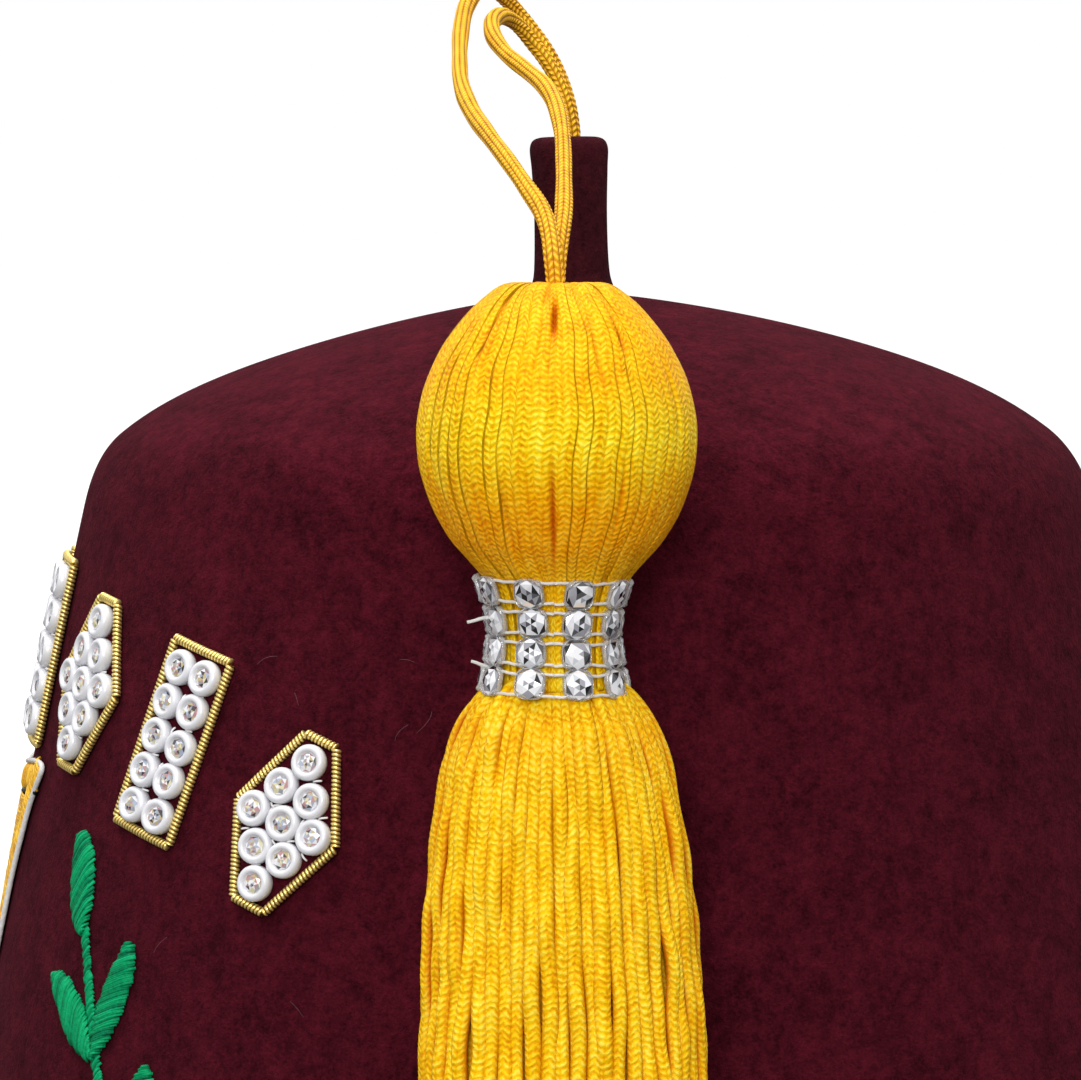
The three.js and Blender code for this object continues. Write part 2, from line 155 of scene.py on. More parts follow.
def skin(points, uv=None, material=0, faceted=False, hollow=0.0):
    """Closed surfaces on grids of points (piece, ring, column, xyz) in millimetres.

    Columns close round, and the first and last ring of each grid are closed by a fan
    about their middle. uv has one column more than points. A faceted surface is made of
    flat triangles, each with one number from the uv at its place for all its corners.
    The last argument, from 0 to 1, is painted shade: how far the yarn's colour at each point
    turns to its darkest, for points that lie deep between their neighbours.
    """
    pieces, rings, columns = points.shape[:3]
    if uv is None:
        uv = np.zeros((pieces, rings, columns + 1, 2))
    middles = points[:, [0, -1]].mean(axis=2)
    vertices = np.concatenate([points.reshape(pieces, -1, 3), middles], axis=1)
    hollows = np.zeros(vertices.shape[:2])
    hollows[:, :-2] = np.broadcast_to(hollow, points.shape[:3]).reshape(pieces, -1)
    row, column = (part.ravel() for part in np.mgrid[0 : rings - 1, 0:columns])
    grid = [(row, column), (row, column + 1), (row + 1, column + 1), (row + 1, column)]
    faces = np.stack([r * columns + c % columns for r, c in grid], axis=1)
    face_uv = np.stack([uv[:, r, c] for r, c in grid], axis=2)
    if faceted:
        faces = np.concatenate([faces[:, [0, 1, 3]], faces[:, [1, 2, 3]]])
        # Each facet's painted reflection tone, read at its first corner.
        facet_reflection_uv = [np.repeat(uv[:, row, column, None, k : k + 1], 3, axis=2) for k in (0, 1)]
        face_uv = np.repeat(np.concatenate(facet_reflection_uv, axis=1), 2, axis=3)
    ring = np.arange(columns)
    onward = (ring + 1) % columns
    last = (rings - 1) * columns
    first_fan = np.stack([0 * ring + rings * columns, onward, ring], axis=1)
    last_fan = np.stack([0 * ring + rings * columns + 1, last + ring, last + onward], axis=1)
    fans = np.concatenate([first_fan, last_fan])
    fan_uv = np.concatenate([uv[:, 0, ring], uv[:, -1, ring]], axis=1)
    start = (np.arange(pieces) * vertices.shape[1])[:, None, None]
    corners = vertices.reshape(-1, 3)
    halves = faces[:, :3], faces[:, [0, -2, -1]][: 0 if faceted else None], fans
    a, b, c = (vertices[0][np.concatenate(halves)[:, k]] for k in range(3))
    if np.einsum("ij,ij->", a, np.cross(b, c)) < 0:
        faces, face_uv, fans = faces[:, ::-1], face_uv[:, :, ::-1], fans[:, ::-1]
    return {
        "vertices": corners,
        "hollow": hollows.ravel(),
        "faces": (faces + start).reshape(-1, faces.shape[1]),
        "face_uv": face_uv.reshape(-1, faces.shape[1], 2),
        "fans": (fans + start).reshape(-1, 3),
        "fan_uv": np.repeat(fan_uv.reshape(-1, 1, 2), 3, axis=1),
        "material": material,
        "smooth": not faceted,
    }


def make_piece(name, skins, materials, slot, *nodes):
    """One object from a list of skins. It rides on the hat and replaces the named nodes."""
    first = np.cumsum([0] + [len(part["vertices"]) for part in skins])
    corners, uvs, sizes, finish, smooth = [], [], [], [], []
    for part, offset in zip(skins, first):
        for faces, uv in ((part["faces"], part["face_uv"]), (part["fans"], part["fan_uv"])):
            corners.append((faces + offset).ravel())
            uvs.append(uv.reshape(-1, 2))
            sizes.append(np.full(len(faces), faces.shape[1]))
            finish.append(np.full(len(faces), part["material"]))
            smooth.append(np.full(len(faces), part["smooth"]))
    sizes = np.concatenate(sizes)
    vertices = np.concatenate([part["vertices"] for part in skins]) * MM
    mesh = bpy.data.meshes.new(name)
    mesh.vertices.add(len(vertices))
    mesh.vertices.foreach_set("co", vertices.ravel())
    mesh.loops.add(sizes.sum())
    mesh.loops.foreach_set("vertex_index", np.concatenate(corners).astype(np.int32))
    mesh.polygons.add(len(sizes))
    mesh.polygons.foreach_set("loop_start", (np.cumsum(sizes) - sizes).astype(np.int32))
    mesh.polygons.foreach_set("material_index", np.concatenate(finish).astype(np.int32))
    mesh.polygons.foreach_set("use_smooth", np.concatenate(smooth))
    mesh.uv_layers.new(name="UVMap").data.foreach_set("uv", np.concatenate(uvs).ravel())
    # Painted shade for the yarn's colour, from 0 to 1, at each point.
    hollow = mesh.attributes.new("hollow", "FLOAT", "POINT")
    hollow.data.foreach_set("value", np.concatenate([part["hollow"] for part in skins]))
    mesh.update(calc_edges=True)
    for material in materials:
        mesh.materials.append(material)
    piece = bpy.data.objects.new(name, mesh)
    bpy.context.scene.collection.objects.link(piece)
    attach(piece, "root")
    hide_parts(*nodes)
    return piece


class Finish:
    """A material built round one surface shader, with short ways to add its nodes."""

    def __init__(self, name, **sockets):
        """Sets the shader's own sockets, whose names have _ in place of a space."""
        self.material = bpy.data.materials.new(name)
        self.material.use_nodes = True
        self.tree = self.material.node_tree
        self.shader = self.tree.nodes["Principled BSDF"]
        for socket, value in sockets.items():
            self.shader.inputs[socket.replace("_", " ")].default_value = value

    def node(self, kind, inputs, **settings):
        """A node with its settings. An input is either linked from a socket or set."""
        node = self.tree.nodes.new("ShaderNode" + kind)
        for setting, value in settings.items():
            setattr(node, setting, value)
        for socket, value in inputs.items():
            if isinstance(value, bpy.types.NodeSocket):
                self.tree.links.new(value, node.inputs[socket])
            else:
                node.inputs[socket].default_value = value
        return node

    def math(self, operation, *values):
        """One step of arithmetic on two or three values."""
        inputs = dict(enumerate(values))
        return self.node("Math", inputs, operation=operation).outputs[0]

    def place(self, output="Object", scale=(1, 1, 1)):
        """Where a point of the surface is, in metres or on the UV map, times a scale."""
        source = self.node("TexCoord", {}).outputs[output]
        return self.node("Mapping", {"Vector": source, "Scale": scale}).outputs[0]

    def uv(self, axis):
        """One of the two numbers of the UV map."""
        source = self.node("TexCoord", {}).outputs["UV"]
        return self.node("SeparateXYZ", {"Vector": source}).outputs[axis]

    def noise(self, place, scale, detail=3.0, roughness=0.55):
        """Smooth noise, about 0.5 in the middle. The scale counts its lumps in a unit."""
        inputs = {"Vector": place, "Scale": scale, "Detail": detail, "Roughness": roughness}
        return self.node("TexNoise", inputs).outputs["Fac"]

    def ramp(self, factor, stops, interpolation="LINEAR"):
        """The colour for a factor, between stops of position and colour."""
        node = self.node("ValToRGB", {"Fac": factor})
        elements = node.color_ramp.elements
        node.color_ramp.interpolation = interpolation
        while len(elements) < len(stops):
            elements.new(1.0)
        for element, (position, colour) in zip(elements, stops):
            element.position = position
            element.color = (*colour, 1.0)
        return node.outputs["Color"]

    def mix(self, factor, a, b, blend="MIX"):
        """Colour a, with as much of b mixed in as the factor says."""
        node = self.node("Mix", {}, data_type="RGBA", blend_type=blend)
        for socket, value in ((0, factor), (6, a), (7, b)):
            if isinstance(value, bpy.types.NodeSocket):
                self.tree.links.new(value, node.inputs[socket])
            elif socket:
                node.inputs[socket].default_value = (*value, 1.0)
            else:
                node.inputs[socket].default_value = value
        return node.outputs[2]

    def colour(self, source):
        """Leads a colour into the shader."""
        self.tree.links.new(source, self.shader.inputs["Base Color"])

    def bump(self, height, depth):
        """Raises the surface by the height times the depth, in metres."""
        normal = self.node("Bump", {"Height": height, "Distance": depth}).outputs["Normal"]
        self.tree.links.new(normal, self.shader.inputs["Normal"])


def knitted_yarn(name, stops, depth, knit, wale_groove, fleck, painted_shading_by_height, **sockets):
    """Rayon yarn knitted into a fine tube.

    The tone is a sum: the stitches (knit_relief's formula on the UV map, whose u counts
    wales and whose v counts stitches, with v pushed about by noise), flecks as long as a
    stitch, and slow noise along the strands. stops are its colours, from painted shade in the
    gaps between stitches and wales to a painted highlight on the raised yarn; the pale flecks
    are partly the yarn's own uneven tone and partly painted glints. An attribute of painted
    shade leads back to the first colour where a point lies deep between strands, and painted
    light and shade by height is multiplied in.
    """
    finish = Finish(name, **sockets)
    wale = finish.math("FRACT", finish.uv("X"))
    w = finish.math("ABSOLUTE", finish.math("MULTIPLY_ADD", wale, 2.0, -1.0))
    push = finish.noise(finish.place("UV", (2.1, 0.55, 1)), 1.0, 1.0)
    stitch = finish.math("MULTIPLY_ADD", push, 1.6 * fleck, finish.uv("Y"))
    turn = finish.math("MULTIPLY_ADD", w, -0.6, stitch)
    wave = finish.math("COSINE", finish.math("MULTIPLY", turn, 2 * math.pi))
    ridge = finish.math("MULTIPLY_ADD", wave, 0.375, 0.625)
    across = finish.math("POWER", finish.math("SINE", finish.math("MULTIPLY", w, math.pi)), 0.6)
    # How deep the edges of a wale sink, in the bump and as painted shade in the colour.
    across = finish.math("MULTIPLY_ADD", across, wale_groove, 1 - wale_groove)
    height = finish.math("MULTIPLY", ridge, across)
    fibre = finish.noise(finish.place(), 2600.0, 2.0)
    flecks = finish.noise(finish.place("UV", (3.1, 1.25, 1)), 1.0, 2.0, 0.6)
    raised = finish.math("MULTIPLY_ADD", flecks, fleck, height)
    finish.bump(finish.math("MULTIPLY_ADD", fibre, 0.25, raised), depth)
    slow = finish.noise(finish.place(scale=(420, 420, 90)), 1.0, 2.0)
    level = finish.math("MULTIPLY_ADD", height, knit, 0.5 * (1 - knit))
    for noise, weight in ((flecks, fleck), (slow, 0.55)):
        level = finish.math("MULTIPLY_ADD", finish.math("SUBTRACT", noise, 0.5), weight, level)
    # Painted shade where the tone is low, and a painted highlight where it is high.
    colour = finish.ramp(level, stops)
    # Painted shade: deep between strands the colour turns to the darkest stop.
    hollow = finish.node("Attribute", {}, attribute_name="hollow").outputs["Fac"]
    colour = finish.mix(hollow, colour, stops[0][1])
    # Painted light and shade by height: the colour is multiplied by a tone read off the height,
    # with noise on the height.
    if painted_shading_by_height:
        z = finish.node("SeparateXYZ", {"Vector": finish.place()}).outputs["Z"]
        at = finish.math("MULTIPLY", finish.math("MULTIPLY_ADD", slow, 0.004, z), 1 / PAINTED_SHADING_TOP)
        shading = finish.ramp(at, [(height * MM / PAINTED_SHADING_TOP, tone) for height, tone in painted_shading_by_height])
        colour = finish.mix(1.0, colour, shading, "MULTIPLY")
    finish.colour(colour)
    return finish


loop_yarn = knitted_yarn(
    "loop_yarn",
    # From painted shade in the gaps to a painted highlight on the raised yarn.
    [
        (0.0, (0.25, 0.07, 0.001)), (0.3, (0.68, 0.29, 0.006)),
        (0.62, (0.84, 0.44, 0.014)), (0.95, (0.95, 0.58, 0.030)),
    ],
    depth=0.00035,
    knit=1.0,
    wale_groove=1.0,
    fleck=0.15,
    painted_shading_by_height=None,
    Roughness=0.5,
    Specular_IOR_Level=0.18,
)


def loop_strand(name):
    """A knitted tube along its route, tucked into the dimple and into the felt.

    Its half width is half the diameter * (1 + two slow sine waves along it), and each
    point is moved out from the centre line by the relief of its stitch.
    """
    route = np.array(LOOP_ROUTES[name])
    into_dimple = route[:1] - TUCK_IN_DIMPLE * UPWARD
    into_felt = route[-1:] - TUCK_IN_FELT * UPWARD
    line = smooth_line(np.vstack([into_dimple, route, into_felt]) / MM, STITCH / 4)
    rings = len(line)
    walked = np.linspace(0, 1, rings) * rings / 4  # in stitches
    uv = np.empty((1, rings, CORD_SIDES + 1, 2))
    uv[..., 0] = CORD_WALES * np.arange(CORD_SIDES + 1) / CORD_SIDES
    uv[..., 1] = walked[:, None]
    uneven = 1 + 0.05 * np.sin(walked / 7) + 0.03 * np.sin(walked / 2.3)
    half = (CORD_DIAMETER / MM / 2 * uneven)[None]
    points = tubes(line[None], FORWARD, half, half * CORD_FLATNESS, CORD_SIDES)
    relief = knit_relief(uv[..., :-1, 0], uv[..., :-1, 1])[..., None] - MIDDLE_RELIEF
    centre = line[None, :, None]
    points = centre + (points - centre) * (1 + CORD_RELIEF * relief)
    skins = [skin(points, uv)]
    piece = make_piece(name + "_cord", skins, [loop_yarn.material], "loop_cord", name)


for strand in LOOP_ROUTES:
    loop_strand(strand)

# ---- Crown ------------------------------------------------------------------------------
# One piece of wool felt, blocked to an oval with a straight wall, a soft shoulder and a top
# that falls away on all sides. It is hollow, and its cut edge is the rim.

RIM_RADIUS = 103.2  # half the oval's length
LENGTH_TO_WIDTH = 1.15
WALL_TAPER = 0.15  # how far the wall comes in for each unit up from the rim
WALL_BEND = 0.0003
WALL_TOP = 111.0  # height where the wall begins to turn over the shoulder
TOP_HEIGHT = 146.2
TOP_SLOPE = 0.1
TOP_BEND = 0.0021
EDGE_DROP = 2.8  # extra fall of the top at the edge radius
EDGE_RADIUS = 75.0
EDGE_POWER = 9
TOP_EDGE = 76.0  # radius where the shoulder meets the top
TOP_SHIFT = 2.5
TOP_TILT = 0.018
STEM_LEAN = 0.03
FELT_THICKNESS = 2.6
CUT_EDGE = 0.5  # rounding of the cut edge of the felt
CROWN_COLUMNS = 320
WALL_STEPS, SHOULDER_STEPS, TOP_STEPS = 70, 26, 46
TOP_HOLE = 1.0  # radius of the fan that closes the middle of the top
WAVE_FADE = 40.0  # radius within which the waves of the felt die away


def wall_radius(height):
    """Half the crown's length on its wall: the rim's, less a taper that grows upwards."""
    return RIM_RADIUS - WALL_TAPER * height - WALL_BEND * height**2


def top_profile(radius):
    """Height of the top: a parabola, less a ninth power of the radius at its edge."""
    edge = EDGE_DROP * (radius / EDGE_RADIUS) ** EDGE_POWER
    return TOP_HEIGHT - TOP_SLOPE * radius - TOP_BEND * radius**2 - edge


def set_top(grid):
    """Shifts the top to the front and tilts it up to the back, by a smooth step up to it.

    Above the top the stem's lean is added to the shift.
    """
    share = np.clip((grid[..., 2] - WALL_TOP) / (TOP_HEIGHT - WALL_TOP), 0, 1)
    share = share**2 * (3 - 2 * share)
    lean = STEM_LEAN * np.maximum(grid[..., 2] - TOP_HEIGHT, 0)
    grid[..., 2] += TOP_TILT * share * grid[..., 1]
    grid[..., 1] -= TOP_SHIFT * share + lean
    return grid


def shoulder_profile(steps):
    """The quadratic curve that leaves the wall and meets the top along their own slopes."""
    wall_slope = -WALL_TAPER - 2 * WALL_BEND * WALL_TOP
    edge_share = (TOP_EDGE / EDGE_RADIUS) ** (EDGE_POWER - 1)
    edge_turn = EDGE_POWER * EDGE_DROP / EDGE_RADIUS * edge_share
    edge_slope = -TOP_SLOPE - 2 * TOP_BEND * TOP_EDGE - edge_turn
    start = np.array([wall_radius(WALL_TOP), WALL_TOP])
    end = np.array([TOP_EDGE, top_profile(TOP_EDGE)])
    drop = end[1] - start[1] + edge_slope * (start[0] - end[0])
    rise = drop / (1 - edge_slope * wall_slope)
    middle = start + np.array([wall_slope * rise, rise])
    t = np.linspace(0, 1, steps)[:, None]
    return (1 - t) ** 2 * start + 2 * t * (1 - t) * middle + t**2 * end


def turned(profile, columns):
    """A profile of (radius, height) rows turned about the vertical axis, as a grid."""
    angle = 2 * np.pi * np.arange(columns) / columns
    radius, height = profile[:, :1], profile[:, 1:]
    x, y = radius * np.sin(angle), -radius * np.cos(angle)
    return np.stack([x, y, height + 0 * x], axis=-1)[None]


def crown_grid():
    """Outer profile from the middle of the top to the rim, then the inner one back again.

    The inner one is the outer one moved in by the felt's thickness along its normals.
    Low waves round and along the wall are what blocking by hand leaves.
    """
    heights = np.linspace(CUT_EDGE, WALL_TOP, WALL_STEPS, endpoint=False)
    wall = np.stack([wall_radius(heights), heights], axis=1)
    radii = np.linspace(TOP_EDGE, TOP_HOLE, TOP_STEPS)[1:]
    top = np.stack([radii, top_profile(radii)], axis=1)
    outer = np.concatenate([wall, shoulder_profile(SHOULDER_STEPS), top])
    along = unit(np.gradient(outer, axis=0))
    inner = outer + FELT_THICKNESS * np.stack([-along[:, 1], along[:, 0]], axis=1)
    inner[0, 1] = CUT_EDGE
    inner[-1, 0] = TOP_HOLE
    edge = np.array([[outer[0, 0] - CUT_EDGE, 0.0], [inner[0, 0] + CUT_EDGE, 0.0]])
    inner = inner[np.r_[0 : len(inner) : 2, len(inner) - 1]]
    grid = turned(np.concatenate([outer[::-1], edge, inner]), CROWN_COLUMNS)
    angle = np.arctan2(grid[..., 0], -grid[..., 1])
    height = grid[..., 2]
    wave = 0.16 * np.sin(3 * angle + height / 31 + 0.7) + 0.1 * np.sin(7 * angle - height / 17)
    reach = np.clip(np.hypot(grid[..., 0], grid[..., 1]) / WAVE_FADE, 0, 1)
    grid[..., :2] *= 1 + (wave * reach / RIM_RADIUS)[..., None]
    grid[..., 0] /= LENGTH_TO_WIDTH
    return set_top(grid)


def wool_felt(name, dark, light, depth):
    """Brushed wool felt: cloudy and speckled, under a nap of short fibres with a red sheen."""
    finish = Finish(
        name,
        Roughness=1.0,
        Specular_IOR_Level=0.03,
        Sheen_Weight=0.04,
        Sheen_Roughness=0.5,
        Sheen_Tint=(0.75, 0.22, 0.30, 1.0),
    )
    place = finish.place()
    cloud = finish.noise(place, 120.0, 4.0, 0.6)
    tuft = finish.noise(place, 520.0, 5.0, 0.7)
    speck = finish.noise(place, 1900.0, 3.0, 0.75)
    mottle = finish.math("MULTIPLY_ADD", tuft, 0.45, finish.math("MULTIPLY", cloud, 0.3))
    level = finish.math("MULTIPLY_ADD", speck, 0.35, mottle)
    finish.colour(finish.ramp(level, [(0.43, dark), (0.67, light)]))
    finish.bump(finish.math("MULTIPLY_ADD", speck, 0.6, tuft), depth)
    return finish


crown_felt = wool_felt("crown_felt", (0.020, 0.0012, 0.0032), (0.078, 0.0058, 0.0132), 0.0006)
make_piece("crown_felt_body", [skin(crown_grid())], [crown_felt.material], "felt", "crown")

# ---- Stem -------------------------------------------------------------------------------
# A short solid stub of rolled felt, sewn to the middle of the top. Its end is cut flat and
# its foot spreads a little.

STEM_RADIUS = 6.4
STEM_WAIST = 0.3
STEM_HEIGHT = 25.0
STEM_FOOT = 7.2  # radius
STEM_STEP = 0.35
STEM_COLUMNS = 72


def stem_grid():
    """A turned profile, made slightly uneven by waves of two and three lobes."""
    end = TOP_HEIGHT + STEM_HEIGHT
    rows = [
        (STEM_FOOT, top_profile(STEM_FOOT) - 0.6),
        (6.9, TOP_HEIGHT + 0.4),
        (STEM_RADIUS, TOP_HEIGHT + 2.4),
        (STEM_RADIUS - STEM_WAIST, TOP_HEIGHT + STEM_HEIGHT / 2),
        (STEM_RADIUS - 0.1, end - 5),
        (STEM_RADIUS, end - 1.6),
        (STEM_RADIUS - 0.5, end - 0.5),
        (STEM_RADIUS - 1.6, end),
        (0.6, end),
    ]
    grid = turned(smooth_line(rows, STEM_STEP), STEM_COLUMNS)
    angle = np.arctan2(grid[..., 0], -grid[..., 1])
    height = grid[..., 2]
    wave = 0.02 * np.sin(2 * angle + height / 9) + 0.012 * np.sin(3 * angle - height / 5)
    grid[..., :2] *= 1 + wave[..., None]
    return set_top(grid)


stem_felt = wool_felt("stem_felt", (0.017, 0.0028, 0.0042), (0.058, 0.0082, 0.0125), 0.0006)
make_piece("stem_felt_stub", [skin(stem_grid())], [stem_felt.material], "felt", "stem")

# ---- Tassel head ------------------------------------------------------------------------
# Knitted rayon strands doubled over a round core. They spread from a dimple on top, lie
# side by side round the ball and crowd together again at the neck, inside the collar.

TASSEL = np.array([89.5, -5.4])
HEAD_STRANDS = 56
HEAD_COLUMNS = 9  # points across a strand
HEAD_STEP = 0.42
FULL_WIDTH = 2.1  # width of a strand that isn't crowded
HEAD_SEED = 11
HEAD_PROFILE = [  # radius and height, from inside the dimple down to the neck
    (3.3, 144.5), (3.5, 146.6), (4.9, 148.1), (7.9, 148.0), (10.8, 146.1), (14.9, 141.7),
    (17.9, 136.8), (19.9, 131.6), (20.6, 126.5), (20.2, 121.0), (18.6, 115.8),
    (15.8, 110.6), (12.8, 107.0), (10.8, 104.6), (9.8, 102.4), (9.0, 98.0), (9.0, 93.0),
    (9.4, 89.0),
]
PAINTED_SHADE_FROM, PAINTED_SHADE_DEPTH = 0.22, 0.7  # how deep a point must lie before painted shade begins, and the depth over which it deepens
CREASE_WIDTH = 0.36
CREASES = [  # angle from straight out, height, half length and depth
    (-0.03, 143.4, 2.0, 1.5), (-0.03, 130.0, 9.0, 0.3), (-0.035, 115.0, 7.0, 0.9),
    (0.34, 138.0, 4.0, 0.5), (0.62, 141.0, 4.0, 0.5), (-0.72, 139.0, 5.0, 0.6),
    (-0.33, 128.0, 4.0, 0.3), (0.50, 118.0, 5.0, 0.45), (-0.42, 113.0, 5.0, 0.4),
    (-1.15, 127.0, 7.0, 0.5), (1.05, 131.0, 6.0, 0.5), (1.9, 135.0, 8.0, 0.6),
    (2.6, 122.0, 9.0, 0.7), (-2.1, 133.0, 8.0, 0.6), (-2.8, 118.0, 7.0, 0.5),
]


def slow_waves(seed, strands, rows, longest):
    """A smooth random wander between about -1 and 1 for each strand: three sine waves."""
    draw = np.random.default_rng(seed)
    at = np.linspace(0, 1, rows)
    waves = 0
    for size, turns in ((0.6, longest), (0.3, 2.3 * longest), (0.2, 5.1 * longest)):
        phase = draw.uniform(0, 2 * np.pi, (strands, 1))
        pace = turns * draw.uniform(0.7, 1.3, (strands, 1))
        waves = waves + size * np.sin(2 * np.pi * pace * at + phase)
    return waves


def head_skin():
    """The ball as one surface: radius = profile - dip * (1 - round), strand by strand.

    round is the half circle across a strand. Where the strands crowd, those of a low
    rank get narrower and sink below their neighbours. Creases are dents with the shape of
    a bell curve, across and along. The deeper a point lies, the more painted shade it gets.
    """
    line = smooth_line(HEAD_PROFILE, HEAD_STEP)
    rows = len(line)
    draw = np.random.default_rng(HEAD_SEED)
    rank = draw.uniform(0, 1, (HEAD_STRANDS, 1))
    width = 2 * np.pi * line[:, 0] / HEAD_STRANDS
    crowd = np.clip(FULL_WIDTH / width - 1, 0, 1.2)
    uneven = 0.10 * slow_waves(HEAD_SEED + 1, HEAD_STRANDS, rows, 1.2)
    share = 1 + 0.55 * crowd * (1 - 2 * rank) + uneven
    share = share / share.sum(axis=0)
    edges = 2 * np.pi * np.cumsum(np.vstack([np.zeros(rows), share]), axis=0)
    edges = edges + np.pi / HEAD_STRANDS * slow_waves(HEAD_SEED + 2, 1, rows, 0.8)
    f = np.arange(HEAD_COLUMNS) / HEAD_COLUMNS
    angle = edges[:-1, :, None] + (edges[1:] - edges[:-1])[..., None] * f
    half_circle = np.sqrt(1 - (2 * f - 1) ** 2)
    merge = 0.55 + 0.45 * slow_waves(HEAD_SEED + 5, HEAD_STRANDS, rows, 2.4)
    dip = np.minimum(0.15 * width, 0.30) * np.clip(merge, 0.1, 1.2)
    lie = 0.08 * (1 + slow_waves(HEAD_SEED + 3, HEAD_STRANDS, rows, 2.0))
    sink = (0.45 * crowd * rank + lie) * np.clip(width / 1.2, 0.2, 1)
    inward = sink[..., None] + dip[..., None] * (1 - half_circle)
    for turned_by, middle, half_length, depth in CREASES:
        aside = (angle - turned_by + np.pi) % (2 * np.pi) - np.pi
        across = aside * line[:, :1] / CREASE_WIDTH
        along = ((line[:, 1:] - middle) / half_length) ** 2
        inward = inward + depth * np.exp(-(across**2) - along)
    slope = unit(np.gradient(line, axis=0))
    radius = line[:, :1] + slope[:, 1:] * inward
    height = line[:, 1:] - slope[:, :1] * inward
    # Painted shade, growing with how deep a point lies in the gaps and creases.
    hollow = np.clip((inward - PAINTED_SHADE_FROM) / PAINTED_SHADE_DEPTH, 0, 1)
    angle, radius, height, hollow = (
        value.transpose(1, 0, 2).reshape(rows, -1) for value in (angle, radius, height, hollow)
    )
    x, y = TASSEL[0] + radius * np.cos(angle), TASSEL[1] + radius * np.sin(angle)
    stitch = np.linspace(0, 1, rows)[None, :, None] * rows * HEAD_STEP / STITCH
    phase, way = draw.uniform(0, 1, (HEAD_STRANDS, 1, 1)), draw.choice([-1, 1], HEAD_STRANDS)
    v = (stitch * way[:, None, None] + phase + 0 * f).transpose(1, 0, 2).reshape(rows, -1)
    u = np.tile(np.arange(HEAD_STRANDS * HEAD_COLUMNS) / HEAD_COLUMNS, (rows, 1))
    uv = np.stack([u, v], axis=-1)
    uv = np.concatenate([uv, uv[:, :1] + [HEAD_STRANDS, 0]], axis=1)
    return skin(np.stack([x, y, height], axis=-1)[None], uv[None], hollow=hollow[None])


tassel_yarn = knitted_yarn(
    "tassel_yarn",
    # From painted shade in the gaps to a painted highlight on the raised yarn.
    [
        (0.05, (0.50, 0.13, 0.001)), (0.32, (0.78, 0.39, 0.001)),
        (0.52, (0.92, 0.64, 0.002)), (0.78, (1.0, 0.88, 0.070)),
    ],
    depth=0.00012,
    knit=0.36,
    wale_groove=0.50,
    fleck=0.70,
    # Painted light and shade by height: darker and more orange low on the ball, darker on its
    # top, lightest in a band round its middle, and darker on the skirt, most just below the
    # collar.
    painted_shading_by_height=[
        (78.0, (0.88, 0.77, 1.0)), (84.0, (0.86, 0.70, 1.0)), (90.0, (0.92, 0.84, 1.0)),
        (102.0, (0.96, 0.84, 1.0)), (107.0, (1.0, 0.76, 0.6)), (112.0, (1.0, 0.60, 0.5)),
        (117.5, (0.98, 0.61, 0.4)), (123.0, (0.94, 0.78, 0.6)), (127.5, (0.93, 0.90, 1.0)),
        (131.0, (0.89, 0.83, 0.8)), (136.0, (0.83, 0.61, 0.2)),
    ],
    Roughness=0.42,
    Specular_IOR_Level=0.12,
    Specular_Tint=(1.0, 0.82, 0.3, 1.0),
    Sheen_Weight=0.30,
    Sheen_Roughness=0.45,
    Sheen_Tint=(1.0, 0.45, 0.01, 1.0),
)
make_piece(
    "tassel_head_strands", [head_skin()], [tassel_yarn.material], "tassel_yarn", "tassel_head"
)

# ---- Tassel skirt -----------------------------------------------------------------------
# The free ends of the strands below the collar, in three layers. They hang close together,
# part here and there, and are cut to nearly one length. Their back lies along the wall.

SKIRT_TOP = 90.0
SKIRT_BOTTOM = 6.0
SKIRT_DRIFT = 0.014  # how far the skirt hangs to the back for each unit down
SKIRT_CLEARANCE = 0.6  # between its back and the wall
STRAND_HALF_WIDTH = 1.24
STRAND_HALF_DEPTH = 1.0
STRAND_WALES = 3
STRAND_RELIEF = 0.08  # how far the stitches stand out, as a share of a strand's radius
CROWDED_WIDTH = 16.5  # half width of the skirt where its strands stop being crowded
CORE_INSET = 6.2
OUTER_INSET = 1.0  # of the outermost layer, from the ovals
SKIRT_SHAPE = [  # height, half width across the wall, half depth out from it
    (SKIRT_TOP, 10.3, 9.6), (87.5, 12.9, 11.0), (84.0, 15.1, 12.2), (78.0, 17.1, 12.8),
    (69.0, 18.9, 13.1), (58.0, 20.3, 13.4), (46.0, 21.2, 13.7), (33.0, 21.8, 14.0),
    (20.0, 22.2, 14.2), (SKIRT_BOTTOM, 22.4, 14.4),
]


